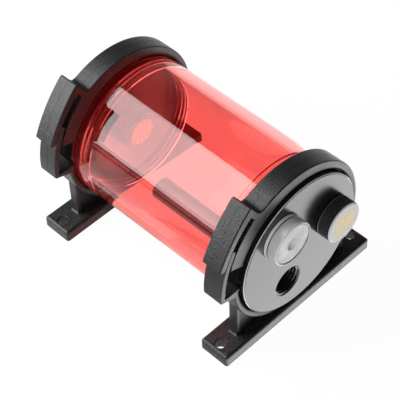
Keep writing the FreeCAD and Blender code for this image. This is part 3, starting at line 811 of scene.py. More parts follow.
# %% The tube
TUBE_WALL, SOCKET_WALL, SOCKET_DEPTH = 4.0, 3.0, 12.0
TUBE_BORE, SOCKET_R = TUBE_R - TUBE_WALL, TUBE_R - SOCKET_WALL
CAP_PITCH, CAP_THREAD = 2.0, 0.55
SOCKET_RELIEF, SOCKET_LEAD, SOCKET_EDGE, TUBE_EDGE = 1.2, 0.6, 0.15, 0.3


def tube():
    """Outer wall, ends, sockets and bore in one closed profile, spun about the tube's axis."""
    step = TUBE_END - SOCKET_DEPTH
    first, last = step + SOCKET_RELIEF, TUBE_END - SOCKET_LEAD
    sockets = [threaded(SOCKET_R, end * first, end * last, CAP_PITCH, CAP_THREAD) for end in (-1, 1)]
    mouth = [(SOCKET_R, TUBE_END - TUBE_EDGE), (SOCKET_R, TUBE_END), (TUBE_R, TUBE_END), (TUBE_R, 0)]
    shoulder = [(TUBE_BORE, step), (SOCKET_R - SOCKET_EDGE, step), (SOCKET_R, step + SOCKET_EDGE)]
    front = np.array([1, -1])
    profile = np.concatenate([
        plain(shoulder * front),
        sockets[0],
        rounded(mouth * front, TUBE_EDGE),
        rounded(mouth[::-1], TUBE_EDGE)[1:],
        sockets[1][::-1],
        plain(shoulder[::-1]),
    ])
    return spun(profile, CAP_PITCH, turns=256, closed=True)


add_piece("red_tube", tube(), tube_acrylic, "frame", ["reservoir_tube"])

# %% [markdown]
# ## Cap finish
# The caps are turned from black acetal, a slick engineering plastic. The lathe tool leaves fine rings,
# which give the flat face its satin look: dark when seen square on, and light grey at a slant, where it
# mirrors the pale table. The narrow bevel round the face is painted pale grey, a painted highlight where
# the rim catches the light. The pattern is centred on the tube's axis by a Mapping node.

# %% Turned black acetal
# To the eye: satin black, with a painted highlight as a pale line round the rim. The rings are 0.2 mm
# apart on the real face and drawn at 0.5 mm.
LATHE_RINGS, LATHE_RELIEF, SMEAR = 0.5, 0.02, 14.0
WAVE_AT_SCALE_1 = 2 * math.pi / 20
CAP_INSET, CAP_BEVEL = 0.2, 0.5
CAP_R = TUBE_R - CAP_INSET
HIGHLIGHT_START, HIGHLIGHT_END = 0.15, 0.45


def about(tree, centre):
    """Object coordinates measured from an axis along Y through a centre (x, z), and the distance from it."""
    place = add_node(tree, "ShaderNodeTexCoord").outputs["Object"]
    local = add_node(tree, "ShaderNodeMapping", {
        "Vector": place, "Location": (-centre[0] * MM, 0.0, -(centre[1] + AXIS_Z) * MM), "Scale": (1, 0, 1)})
    reach = add_node(tree, "ShaderNodeVectorMath", {0: local.outputs["Vector"]}, operation="LENGTH")
    return local.outputs["Vector"], reach.outputs["Value"]


cap_acetal, tree, output = new_material("turned_black_acetal")
place = add_node(tree, "ShaderNodeTexCoord").outputs["Object"]
local, reach = about(tree, (0.0, 0.0))
rings = add_node(tree, "ShaderNodeTexWave", {
    "Vector": local, "Scale": per_mm(LATHE_RINGS) * WAVE_AT_SCALE_1, "Distortion": 0.4,
    "Detail": 2.0, "Detail Scale": 2.0}, wave_type="RINGS", rings_direction="SPHERICAL")
relief = add_node(tree, "ShaderNodeBump", {
    "Height": rings.outputs["Fac"], "Strength": 0.05, "Distance": LATHE_RELIEF * MM})
smear = add_node(tree, "ShaderNodeTexNoise", {"Vector": place, "Scale": per_mm(SMEAR), "Detail": 2.0})
shine = add_node(tree, "ShaderNodeMapRange", {
    "Value": smear.outputs["Fac"], "To Min": 0.19, "To Max": 0.25})
axes = add_node(tree, "ShaderNodeSeparateXYZ", {0: place})
from_middle = add_node(tree, "ShaderNodeMath", {0: axes.outputs["Y"]}, operation="ABSOLUTE")
# Painted highlight: the bevel round the face is painted pale grey.
at_rim = add_node(tree, "ShaderNodeMath", {
    0: reach, 1: (CAP_R - CAP_BEVEL + HIGHLIGHT_START) * MM}, operation="GREATER_THAN")
at_face = add_node(tree, "ShaderNodeMath", {
    0: from_middle.outputs[0], 1: (CAP_FACE - HIGHLIGHT_END) * MM}, operation="GREATER_THAN")
painted_bevel_highlight = add_node(tree, "ShaderNodeMath", {
    0: at_rim.outputs[0], 1: at_face.outputs[0]}, operation="MULTIPLY")
tint = add_node(tree, "ShaderNodeMix", {
    "Factor": painted_bevel_highlight.outputs[0], 6: linear("#131314"), 7: linear("#b4b4b6")}, data_type="RGBA")
surface = add_node(tree, "ShaderNodeBsdfPrincipled", {
    "Base Color": tint.outputs[2], "Roughness": shine.outputs["Result"], "IOR": 1.55,
    "Normal": relief.outputs["Normal"]})
tree.links.new(surface.outputs["BSDF"], output.inputs["Surface"])
print(f"{cap_acetal.name}: rings {LATHE_RINGS} mm apart")

# %% [markdown]
# ## Caps and ports
# A cap has a flange as wide as the tube, a spigot with a groove for its O-ring, and a thread. Its side
# and its ports are spun profiles; the two flat faces between them are discs with holes. Three ports with
# a G1/4 thread lie on a circle in the front cap. The rear cap is closed outside and has one threaded
# socket inside. The open port is looked into, so its thread is geometry and not a bump texture.

# %% The caps' profiles
CAP_SEAT_GAP, CAP_CLEARANCE, CAP_EDGE = 0.1, 0.1, 0.15
CAP_SHOULDER = CAP_FACE - TUBE_END - CAP_SEAT_GAP
SPIGOT_R, SPIGOT_EDGE = SOCKET_R - CAP_CLEARANCE, 1.0
GROOVE_DEPTH, GROOVE_START, GROOVE_END = 1.6, 5.9, 8.1
GROOVE_R = SPIGOT_R - GROOVE_DEPTH
PORT_R, PORT_DEPTH, PORT_CHAMFER = 6.58, 7.4, 0.2
PORT_PITCH, PORT_THREAD = 1.337, 0.7
PASSAGE_R = 4.87


def cap_side():
    """The cap's side from the rim of its face to the rim of its inner face, Y running inwards."""
    return np.concatenate([
        rounded([(CAP_R - CAP_BEVEL, 0), (CAP_R, CAP_BEVEL), (CAP_R, CAP_SHOULDER), (SPIGOT_R, CAP_SHOULDER),
                 (SPIGOT_R, GROOVE_START), (GROOVE_R, GROOVE_START), (GROOVE_R, GROOVE_END),
                 (SPIGOT_R, GROOVE_END)], CAP_EDGE),
        threaded(SPIGOT_R, GROOVE_END + 0.05, CAP_DEPTH - SPIGOT_EDGE, CAP_PITCH, CAP_THREAD),
        plain([(SPIGOT_R - SPIGOT_EDGE, CAP_DEPTH)]),
    ])


def outwards(profile, face, direction):
    """A profile measured inwards from a face, set at that face: direction 1 runs towards +Y."""
    return profile * [1, direction, 1] + [0, face, 0]


def port_wall():
    """A port from its chamfered mouth through its thread to the passage behind it."""
    return np.concatenate([
        plain([(PORT_R + PORT_CHAMFER, 0), (PORT_R, PORT_CHAMFER)]),
        threaded(PORT_R, PORT_CHAMFER + 0.05, PORT_DEPTH - 0.1, PORT_PITCH, PORT_THREAD),
        plain([(PORT_R, PORT_DEPTH), (PASSAGE_R, PORT_DEPTH), (PASSAGE_R, CAP_DEPTH)]),
    ])


print("cap side:", len(cap_side()), "points, port:", len(port_wall()), "points")

# %% [markdown]
# ## Both caps
# Side, faces and ports share their rims point for point, so that merging doubled points closes the mesh.
# Left as separate shells, they could show seams at those rims.

# %% The caps with their ports
PORT_CIRCLE = 17.0
FILL_PORT, LAMP_PORT, OPEN_PORT = (polar(PORT_CIRCLE, angle) for angle in (8.0, 128.0, 248.0))
FACE_R, INNER_FACE_R = CAP_R - CAP_BEVEL, SPIGOT_R - SPIGOT_EDGE


def front_cap():
    """Cap with three ports between its outer and inner face."""
    ports = (FILL_PORT, LAMP_PORT, OPEN_PORT)
    return joined(
        spun(outwards(cap_side(), -CAP_FACE, 1), CAP_PITCH),
        disc_with_holes(-CAP_FACE, FACE_R, [(*port, PORT_R + PORT_CHAMFER) for port in ports]),
        disc_with_holes(-CAP_FACE + CAP_DEPTH, INNER_FACE_R, [(*port, PASSAGE_R) for port in ports]),
        *[spun(outwards(port_wall(), -CAP_FACE, 1), PORT_PITCH, port, turns=96) for port in ports],
    )


def rear_cap():
    """Cap closed outside, with one threaded socket in the middle of its inner face."""
    socket = np.concatenate([
        plain([(PORT_R, CAP_DEPTH), (PORT_R, CAP_DEPTH - 0.05)]),
        threaded(PORT_R, CAP_DEPTH - 0.1, CAP_DEPTH - PORT_DEPTH + 0.1, PORT_PITCH, PORT_THREAD),
        plain([(PORT_R, CAP_DEPTH - PORT_DEPTH), (0, CAP_DEPTH - PORT_DEPTH)]),
    ])
    return joined(
        spun(outwards(cap_side(), CAP_FACE, -1), CAP_PITCH),
        disc_with_holes(CAP_FACE, FACE_R, []),
        disc_with_holes(CAP_FACE - CAP_DEPTH, INNER_FACE_R, [(0.0, 0.0, PORT_R)]),
        spun(outwards(socket, CAP_FACE, -1), PORT_PITCH, turns=96),
    )


add_piece("front_screw_cap", front_cap(), cap_acetal, "front_cap", ["front_cap"])
add_piece("rear_screw_cap", rear_cap(), cap_acetal, "rear_cap", ["rear_cap"])

# %% [markdown]
# ## Rubber seals
# O-rings of black nitrile rubber seal the caps and the plugs. A fine bloom on the rubber makes it
# slightly uneven, which a noise texture between two near blacks gives. One flat black would look painted.

# %% Nitrile rubber
# To the eye: matt and a little grey, with no clear reflections.
RUBBER_BLOOM = 1.2

seal_rubber, tree, output = new_material("black_nitrile_rubber")
place = add_node(tree, "ShaderNodeTexCoord").outputs["Object"]
bloom = add_node(tree, "ShaderNodeTexNoise", {"Vector": place, "Scale": per_mm(RUBBER_BLOOM), "Detail": 3.0})
tint = add_node(tree, "ShaderNodeMix", {
    "Factor": bloom.outputs["Fac"], 6: linear("#131313"), 7: linear("#1d1d1d")}, data_type="RGBA")
surface = add_node(tree, "ShaderNodeBsdfPrincipled", {"Base Color": tint.outputs[2], "Roughness": 0.62})
tree.links.new(surface.outputs["BSDF"], output.inputs["Surface"])
print(f"{seal_rubber.name}: bloom {RUBBER_BLOOM} mm")

# %% [markdown]
# ## O-rings
# Squeezed in its groove, a ring is flat on two sides and bulges on the others. So its section is a
# rectangle with well rounded corners, spun about the axis. Each ring's size comes from the box of its
# solid. A plain torus would be round all over.

# %% The O-rings
CAP_SEAL_WIDTH, PLUG_SEAL_WIDTH, SEAL_BULGE = 1.55, 1.5, 0.45


def seal(node, body, width, centre=(0.0, 0.0)):
    """An O-ring that fills its solid's box: a rounded rectangle spun about the axis."""
    low, high = box_mm(node)
    outer = (high[0] - low[0]) / 2
    inner, middle = outer - width, (low[1] + high[1]) / 2
    corners = [(inner, middle), (inner, low[1]), (outer, low[1]), (outer, high[1]), (inner, high[1]),
               (inner, middle)]
    part = spun(rounded(corners, SEAL_BULGE, steps=5)[:-1], centre=centre, turns=128, closed=True)
    add_piece(node + "_rubber", part, seal_rubber, body, [node])


seal("front_cap_o_ring", "front_cap_seal", CAP_SEAL_WIDTH)
seal("rear_cap_o_ring", "rear_cap_seal", CAP_SEAL_WIDTH)
seal("fill_plug_o_ring", "fill_plug_seal", PLUG_SEAL_WIDTH, FILL_PORT)
seal("lamp_plug_o_ring", "lamp_plug_seal", PLUG_SEAL_WIDTH, LAMP_PORT)
seal("rear_plug_o_ring", "rear_plug_seal", PLUG_SEAL_WIDTH)

# %% [markdown]
# ## Plug finish
# The plugs are black acetal. The tips of their knurl are painted a little paler, a painted highlight where
# each diamond catches the light. The distance from the plug's axis tells tip from groove, so the painted
# highlights follow the geometry of the knurl exactly.

# %% Knurled acetal
# To the eye: black with tiny grey diamonds, a painted highlight on each tip.
PLUG_HEAD_R, PLUG_HEAD = 8.6, 6.2
KNURL_HIGHLIGHT = 0.12


def knurled_acetal(name, centre):
    """Black acetal, with a painted highlight on the tips of its knurl."""
    material, tree, output = new_material(name)
    _, reach = about(tree, centre)
    # Painted highlight: the outer tips of the knurl are painted paler.
    tip = add_node(tree, "ShaderNodeMapRange", {
        "Value": reach, "From Min": (PLUG_HEAD_R - KNURL_HIGHLIGHT) * MM, "From Max": PLUG_HEAD_R * MM})
    tint = add_node(tree, "ShaderNodeMix", {
        "Factor": tip.outputs["Result"], 6: linear("#101011"), 7: linear("#5e5e60")}, data_type="RGBA")
    surface = add_node(tree, "ShaderNodeBsdfPrincipled", {
        "Base Color": tint.outputs[2], "Roughness": 0.3, "IOR": 1.5})
    tree.links.new(surface.outputs["BSDF"], output.inputs["Surface"])
    return material


print("the knurl is pale in its outer", KNURL_HIGHLIGHT, "mm")

# %% [markdown]
# ## Printed face
# The flat face carries a gold print. On the fill plug the black face is painted pale grey, a painted
# reflection of the pale table. The print here is a plain rosette: a wave round the axis and a wave along
# the radius are added, and gold lies where their sum is high. Math nodes do that from the place on the
# face, so it needs no picture.

# %% Printed face
# To the eye: smooth, with a soft shine over paint and print alike.
PETALS, PETAL_RING = 11, 1.2


def printed_face(name, centre, print_radius, face_colour_and_painted_reflection, ink_and_painted_light):
    """A face with a gold rosette about a centre (x, z), out to a radius in mm."""
    material, tree, output = new_material(name)
    local, reach = about(tree, centre)
    axes = add_node(tree, "ShaderNodeSeparateXYZ", {0: local})
    angle = add_node(tree, "ShaderNodeMath", {
        0: axes.outputs["Z"], 1: axes.outputs["X"]}, operation="ARCTAN2")
    lobes = add_node(tree, "ShaderNodeMath", {0: angle.outputs[0], 1: PETALS}, operation="MULTIPLY")
    swing = add_node(tree, "ShaderNodeMath", {0: lobes.outputs[0]}, operation="COSINE")
    ripple = add_node(tree, "ShaderNodeMath", {
        0: reach, 1: 2 * math.pi * per_mm(PETAL_RING)}, operation="MULTIPLY")
    rings = add_node(tree, "ShaderNodeMath", {0: ripple.outputs[0]}, operation="SINE")
    weave = add_node(tree, "ShaderNodeMath", {0: swing.outputs[0], 1: rings.outputs[0]}, operation="ADD")
    inked = add_node(tree, "ShaderNodeMath", {0: weave.outputs[0], 1: -0.3}, operation="GREATER_THAN")
    inside = add_node(tree, "ShaderNodeMath", {0: reach, 1: print_radius * MM}, operation="LESS_THAN")
    gold = add_node(tree, "ShaderNodeMath", {0: inked.outputs[0], 1: inside.outputs[0]}, operation="MULTIPLY")
    tint = add_node(tree, "ShaderNodeMix", {
        "Factor": gold.outputs[0], 6: linear(face_colour_and_painted_reflection), 7: linear(ink_and_painted_light)}, data_type="RGBA")
    surface = add_node(tree, "ShaderNodeBsdfPrincipled", {
        "Base Color": tint.outputs[2], "Roughness": 0.25, "IOR": 1.35})
    tree.links.new(surface.outputs["BSDF"], output.inputs["Surface"])
    return material


print("rosette:", PETALS, "petals, rings", PETAL_RING, "mm apart")

# %% [markdown]
# ## Knurled plugs
# A plug's rim is rolled with a diamond knurl: two sets of slanted V-grooves that cross. As a formula, the
# radius drops by the deeper of two waves, one leaning left and one leaning right. Below the head lie a
# recess for the O-ring and a threaded shank. A bump texture would be quicker, but the rim's outline would
# stay smooth.

# %% Shank and knurl
KNURL_COUNT, KNURL_DEPTH, KNURL_STEPS, KNURL_ROWS, KNURL_FADE = 46, 0.38, 8, 49, 0.25
PLUG_RIM, PLUG_UNDER = 0.45, 0.35
PLUG_RECESS_R, PLUG_SEAT, PLUG_RECESS = 8.1, 0.1, 1.3
PLUG_CLEARANCE, SHANK, SHANK_CHAMFER, SHANK_LEAD = 0.08, 6.0, 0.5, 0.6
SHANK_R = PORT_R - PLUG_CLEARANCE


def shank():
    """From the seal recess under a plug's head along its threaded shank, Y running inwards."""
    return np.concatenate([
        plain([(PLUG_RECESS_R, -PLUG_SEAT), (PLUG_RECESS_R, -PLUG_RECESS), (SHANK_R, -PLUG_RECESS),
               (SHANK_R, SHANK_LEAD)]),
        threaded(SHANK_R, SHANK_LEAD + 0.1, SHANK - SHANK_LEAD, PORT_PITCH, PORT_THREAD),
        plain([(SHANK_R - SHANK_CHAMFER, SHANK)]),
    ])


def knurl(centre, face):
    """The knurled band: radius = head - depth * the deeper of two crossing V-waves, faded at both rims."""
    low, high = face + PLUG_RIM, face + PLUG_HEAD - PLUG_SEAT - PLUG_RIM
    angle = np.linspace(0, 2 * math.pi, KNURL_COUNT * KNURL_STEPS, endpoint=False)[:, None]
    y = np.linspace(low, high, KNURL_ROWS)[None, :]
    slant = KNURL_COUNT / (2 * math.pi * PLUG_HEAD_R)
    round_turns = angle / (2 * math.pi) * KNURL_COUNT
    waves = [np.abs(2 * ((round_turns + lean * y * slant) % 1) - 1) for lean in (1, -1)]
    groove = np.clip(np.maximum(*waves) * 1.5 - 0.5, 0, 1)
    fade = np.clip(np.minimum(y - low, high - y) / KNURL_FADE, 0, 1)
    reach = PLUG_HEAD_R - KNURL_DEPTH * groove * fade
    y = np.broadcast_to(y, reach.shape)
    x, z = reach * np.cos(angle), reach * np.sin(angle)
    points = np.stack([centre[0] + x, y, AXIS_Z + centre[1] + z], axis=-1)
    return points.reshape(-1, 3), grid_faces(*reach.shape, wrap_rows=True)


print("knurl:", KNURL_COUNT, "diamonds round the head")

# %% [markdown]
# ## Plugs in place
# Face, knurl and the rest are three grids with the same number of steps round the axis, so that their
# rims meet point for point. The face's polygons take the printed finish. The rear plug is the same piece,
# seen through the red tube. Its face keeps the plug's own black, while the fill plug's face is painted pale
# grey, a painted reflection. The rear print is painted a brighter gold, painted light for a print seen
# through the red tube.

# %% The knurled plugs
PLUG_BORE, PLUG_CROWN, PLUG_EDGE = 4.2, 3.2, 0.2
# Fill plug: face painted pale grey, a painted reflection. Rear plug: own black face, gold painted brighter.
PRINTS = {"fill_plug": (5.7, "#b4b4b6", "#d6b13f"), "rear_plug": (5.7, "#161616", "#f2d469")}


def knurled_plug(seat, centre):
    """Face, knurled rim, underside, shank and the hollow behind the face, its seat at a place along Y."""
    face = seat - PLUG_HEAD
    count = KNURL_COUNT * KNURL_STEPS
    crown = [(0, face), (PLUG_HEAD_R - PLUG_RIM, face), (PLUG_HEAD_R, face + PLUG_RIM)]
    front = spun(rounded(crown, PLUG_EDGE), centre=centre, turns=count)
    under = np.concatenate([
        plain([(PLUG_HEAD_R, seat - PLUG_SEAT - PLUG_RIM), (PLUG_HEAD_R - PLUG_UNDER, seat - PLUG_SEAT)]),
        outwards(shank(), seat, 1),
        plain([(PLUG_BORE, seat + SHANK), (PLUG_BORE, face + PLUG_CROWN), (0, face + PLUG_CROWN)]),
    ])
    rear = spun(under, PORT_PITCH, centre, turns=count)
    part = joined(front, knurl(centre, face), rear)
    printed = np.arange(len(part[1])) < len(front[1])
    return part, printed.astype(int)


for name, seat, centre in (
        ("fill_plug", -CAP_FACE, FILL_PORT),
        ("rear_plug", CAP_FACE - CAP_DEPTH, (0.0, 0.0))):
    part, face_material = knurled_plug(seat, centre)
    finishes = [knurled_acetal(name + "_knurled_acetal", centre),
                printed_face(name + "_printed_face", centre, *PRINTS[name])]
    add_piece(name + "_knurled", part, finishes, name, [name], face_material)

# %% [markdown]
# ## Lamp plug finish
# The second plug is turned from clear acrylic and left frosted by the tool, so it looks milky: part of
# the light goes through it and the rest is scattered near the surface. A Principled shader with a little
# transmission gives both. On top of that, light and shade are painted in: the side, the rim and the hole
# are painted paler, painted light where thick clear plastic gathers it, and the corners of the steps are
# painted as thin dark lines of painted shade. Each is a zone, told by its distance from the axis or its
# height above the cap.

# %% Frosted clear acrylic
# To the eye: milky grey, painted palest at the rim and in the hole, with thin lines of painted shade.
LAMP_R, LAMP_HEAD, LAMP_RIM, LAMP_STEP, LAMP_SHOULDER = 9.5, 5.7, 1.5, 0.4, 0.5
LAMP_FACE_R, LAMP_SINK, LAMP_HOLE_R, LAMP_HOLE = 8.3, 0.3, 2.7, 9.2
LAMP_CLOUD, LAMP_FROST = 6.0, 1.5
PAINTED_SHADE_LINE = "#2c2c2c"

lamp_acrylic, tree, output = new_material("frosted_clear_acrylic")
place = add_node(tree, "ShaderNodeTexCoord").outputs["Object"]
_, reach = about(tree, LAMP_PORT)
height = add_node(tree, "ShaderNodeSeparateXYZ", {0: place}).outputs["Y"]
clouds = add_node(tree, "ShaderNodeTexNoise", {"Vector": place, "Scale": per_mm(LAMP_CLOUD), "Detail": 1.0})
cloud = add_node(tree, "ShaderNodeMapRange", {
    "Value": clouds.outputs["Fac"], "From Min": 0.35, "From Max": 0.65})
tint = add_node(tree, "ShaderNodeMix", {
    "Factor": cloud.outputs["Result"], 6: linear("#9a9a98"), 7: linear("#b6b6b4")}, data_type="RGBA")
# Each zone of painted light and shade: its name, what is measured, the test, its limits in mm and the
# colour. Later ones lie on top.
# Painted light: the side, rim and hole zones. Painted shade: the three corner lines.
painted_zones = (
    ("side", reach, "GREATER_THAN", (LAMP_FACE_R + 0.4,), "#d6d6d4"),
    ("rim", reach, "GREATER_THAN", (LAMP_R - 0.2,), "#f4f4f2"),
    ("hole", reach, "LESS_THAN", (LAMP_HOLE_R * 1.02,), "#f6f6f4"),
    ("corner inside the ring", reach, "COMPARE", (LAMP_FACE_R - 0.18, 0.13), PAINTED_SHADE_LINE),
    ("corner on the ring", reach, "COMPARE", (LAMP_FACE_R + 0.22, 0.16), PAINTED_SHADE_LINE),
    ("corner above the rim", height, "COMPARE", (-CAP_FACE - LAMP_RIM, 0.13), PAINTED_SHADE_LINE),
)
for zone, measure, test, limits, colour in painted_zones:
    values = {number: limit * MM for number, limit in enumerate(limits, 1)}
    inside = add_node(tree, "ShaderNodeMath", {0: measure, **values}, operation=test, label=zone)
    tint = add_node(tree, "ShaderNodeMix", {
        "Factor": inside.outputs[0], 6: tint.outputs[2], 7: linear(colour)}, data_type="RGBA")
frost = add_node(tree, "ShaderNodeTexNoise", {"Vector": place, "Scale": per_mm(LAMP_FROST), "Detail": 2.0})
shine = add_node(tree, "ShaderNodeMapRange", {"Value": frost.outputs["Fac"], "To Min": 0.2, "To Max": 0.26})
surface = add_node(tree, "ShaderNodeBsdfPrincipled", {
    "Base Color": tint.outputs[2], "Roughness": shine.outputs["Result"], "IOR": 1.49,
    "Transmission Weight": 0.2})
tree.links.new(surface.outputs["BSDF"], output.inputs["Surface"])
print(f"{lamp_acrylic.name}:", ", ".join(zone[0] for zone in painted_zones))

# %% [markdown]
# ## Lamp plug
# The head has a rim, a rounded shoulder, a ring round a sunk face and a hole for a small lamp. All of it
# is one profile spun about the port's axis. Stacked cylinders could stand for it, but one profile rounds
# every corner as it goes.

# %% The lamp plug
LAMP_EDGE = 0.15


def lamp_plug():
    """Hole, sunk face, ring, rounded shoulder, rim and threaded shank in one profile."""
    top = -LAMP_HEAD
    body_r = LAMP_R - LAMP_STEP
    turn = np.linspace(-math.pi / 2, 0, 9)
    shoulder = np.column_stack([
        body_r - LAMP_SHOULDER * (1 - np.cos(turn)), top + LAMP_SHOULDER * (1 + np.sin(turn))])
    profile = np.concatenate([
        rounded([(0, top + LAMP_HOLE), (LAMP_HOLE_R, top + LAMP_HOLE), (LAMP_HOLE_R, top + LAMP_SINK),
                 (LAMP_FACE_R, top + LAMP_SINK), (LAMP_FACE_R, top), (body_r - LAMP_SHOULDER, top)],
                LAMP_EDGE),
        plain(shoulder),
        rounded([(body_r, -LAMP_RIM - 0.2), (body_r, -LAMP_RIM), (LAMP_R, -LAMP_RIM), (LAMP_R, -PLUG_SEAT),
                 (PLUG_RECESS_R, -PLUG_SEAT)], LAMP_EDGE),
        shank()[1:],
        plain([(0, SHANK)]),
    ])
    return spun(outwards(profile, -CAP_FACE, 1), PORT_PITCH, LAMP_PORT, turns=128)


add_piece("lamp_plug_clear", lamp_plug(), lamp_acrylic, "lamp_plug", ["lamp_plug"])

# %% [markdown]
# ## Dip tube
# A plain pipe of black acetal stands behind the open port. It was drawn through a die, which leaves faint
# streaks along it. A noise texture stretched twenty times along the pipe gives them.

# %% Drawn black acetal
# To the eye: smooth and a little glossy, with the shine broken lengthways.
DRAWN_STREAK = 0.6

dip_acetal, tree, output = new_material("drawn_black_acetal")
place = add_node(tree, "ShaderNodeTexCoord").outputs["Object"]
streak = add_node(tree, "ShaderNodeMapping", {"Vector": place, "Scale": (1.0, 0.05, 1.0)})
drawn = add_node(tree, "ShaderNodeTexNoise", {
    "Vector": streak.outputs["Vector"], "Scale": per_mm(DRAWN_STREAK)})
shine = add_node(tree, "ShaderNodeMapRange", {"Value": drawn.outputs["Fac"], "To Min": 0.25, "To Max": 0.4})
surface = add_node(tree, "ShaderNodeBsdfPrincipled", {
    "Base Color": linear("#171717"), "Roughness": shine.outputs["Result"], "IOR": 1.5})
tree.links.new(surface.outputs["BSDF"], output.inputs["Surface"])
print(f"{dip_acetal.name}: streaks {DRAWN_STREAK} mm wide")

# %% [markdown]
# ## The pipe
# Its profile runs once round the wall, out along the bore and back along the outside, and is spun about
# the port's axis. It starts halfway along the bore, so that all four rims are rounded alike.

# %% The dip tube
DIP_BORE, DIP_EDGE = 3.5, 0.25
dip_low, dip_high = box_mm("dip_tube")
DIP_R = (dip_high[0] - dip_low[0]) / 2
middle = (dip_low[1] + dip_high[1]) / 2
pipe = rounded([(DIP_BORE, middle), (DIP_BORE, dip_low[1]), (DIP_R, dip_low[1]), (DIP_R, dip_high[1]),
                (DIP_BORE, dip_high[1]), (DIP_BORE, middle)], DIP_EDGE)
add_piece("dip_pipe", spun(pipe[:-1], centre=OPEN_PORT, turns=96, closed=True), dip_acetal, "front_cap",
          ["dip_tube"])

# %% [markdown]
# ## Floor
# The object stands on a white table. To the eye, in mirrors and through clear plastic it is plain white:
# an Emission shader of strength 1 gives most of that, and a small share of matt paint keeps the object's
# shadow. To light that bounces about it is matt paint only, so the white adds no light to the object.

# %% Floor
FLOOR_SIZE, FLOOR_WHITE = 8.0, 0.96


def stage_sheet(name, points, faces, material):
    """A flat sheet of the studio from points in metres."""
    mesh = bpy.data.meshes.new(name)
    mesh.from_pydata(points, [], faces)
    mesh.materials.append(material)
    sheet = bpy.data.objects.new(name, mesh)
    bpy.context.scene.collection.objects.link(sheet)
    return sheet


floor_paint, tree, output = new_material("white_table")
path = add_node(tree, "ShaderNodeLightPath")
seen = add_node(tree, "ShaderNodeMath", {
    0: path.outputs["Is Camera Ray"], 1: path.outputs["Is Glossy Ray"]}, operation="MAXIMUM")
shown = add_node(tree, "ShaderNodeMath", {
    0: seen.outputs[0], 1: path.outputs["Is Transmission Ray"]}, operation="MAXIMUM")
share = add_node(tree, "ShaderNodeMath", {0: shown.outputs[0], 1: FLOOR_WHITE}, operation="MULTIPLY")
matt = add_node(tree, "ShaderNodeBsdfDiffuse", {"Color": linear("#f7f7f7")})
white = add_node(tree, "ShaderNodeEmission", {"Color": (1, 1, 1, 1), "Strength": 1.0})
both = add_node(tree, "ShaderNodeMixShader", {
    0: share.outputs[0], 1: matt.outputs["BSDF"], 2: white.outputs["Emission"]})
tree.links.new(both.outputs["Shader"], output.inputs["Surface"])
half = FLOOR_SIZE / 2
corners = [(-half, -half, 0), (half, -half, 0), (half, half, 0), (-half, half, 0)]
floor = stage_sheet("floor", corners, [(0, 1, 2, 3)], floor_paint)
print(f"{floor.name}: {FLOOR_SIZE:.0f} m wide")

# %% [markdown]
# ## Lamps
# One large softbox stands behind the object to the left and lays the pale band along the tube. A second
# lamp fills in from the front left, so that colours come out about as they are written. It is hidden from
# mirrors and clear plastic, so that the tube shows one band only. An area lamp shines along its own -Z
# axis.

# %% Softbox and fill
SOFTBOX_LENGTH, SOFTBOX_HEIGHT, SOFTBOX_RADIANCE = 0.47, 0.74, 6.6
SOFTBOX_TILT = math.radians(-12)
SOFTBOX_PLACE = Vector((-0.272, 0.336, 0.318))
FILL_SIZE, FILL_DISTANCE, FILL_RADIANCE = 0.6, 1.0, 5.0
FILL_FROM = Vector((-0.62, -0.6, 0.5)).normalized()


def soft_lamp(name, length, height, radiance, place):
    """A rectangular lamp as bright all over as asked for: its power is radiance * pi * area."""
    lamp = bpy.data.lights.new(name, "AREA")
    lamp.shape = "RECTANGLE"
    lamp.size, lamp.size_y = length, height
    lamp.energy = radiance * math.pi * length * height
    placed = bpy.data.objects.new(name, lamp)
    bpy.context.scene.collection.objects.link(placed)
    placed.matrix_world = place
    print(f"{name}: {length} by {height} m, {lamp.energy:.1f} W")
    return placed


# The softbox's back points up to the left, 48 degrees above level, and its height runs across that.
outward = Vector((-0.664, 0.0, 0.747))
rise = Vector((0.747, 0.0, 0.664))
facing = Matrix((rise.cross(outward), rise, outward)).transposed().to_4x4()
soft_lamp("softbox", SOFTBOX_LENGTH, SOFTBOX_HEIGHT, SOFTBOX_RADIANCE,
          Matrix.Translation(SOFTBOX_PLACE) @ facing @ Matrix.Rotation(SOFTBOX_TILT, 4, "Z"))
towards = FILL_FROM.to_track_quat("Z", "Y").to_matrix().to_4x4()
fill = soft_lamp("fill", FILL_SIZE, FILL_SIZE, FILL_RADIANCE,
                 Matrix.Translation(FILL_FROM * FILL_DISTANCE) @ towards)
fill.visible_glossy = fill.visible_transmission = False

# %% [markdown]
# ## Black card
# A sheet of black felt on the table behind the object, out of the picture. Clear plastic and polished
# faces show it, which keeps their dark parts dark. It throws no shadow and the camera doesn't see it.

# %% Black card
CARD_CORNERS = [(-0.8, 0.05, 0.001), (-0.36, 0.05, 0.001), (-0.33, 0.8, 0.001), (-0.8, 0.8, 0.001)]

black_felt, tree, output = new_material("black_felt")
matt = add_node(tree, "ShaderNodeBsdfDiffuse", {"Color": linear("#0c0c0c")})
tree.links.new(matt.outputs["BSDF"], output.inputs["Surface"])
card = stage_sheet("black_card", CARD_CORNERS, [(0, 1, 2, 3)], black_felt)
card.visible_camera = card.visible_diffuse = card.visible_shadow = False
print(f"{card.name}: {len(CARD_CORNERS)} corners")

# %% [markdown]
# ## What the black plastic mirrors
# Satin black plastic shows its surroundings more than its own colour. Patches on the table stand for a
# table that is lit in front of the object, shaded below it and shaded to its left. They show only after
# a mirror bounce, which the Light Path node's Glossy Depth tells, and are clear to everything else. The
# higher patch covers the lower one.

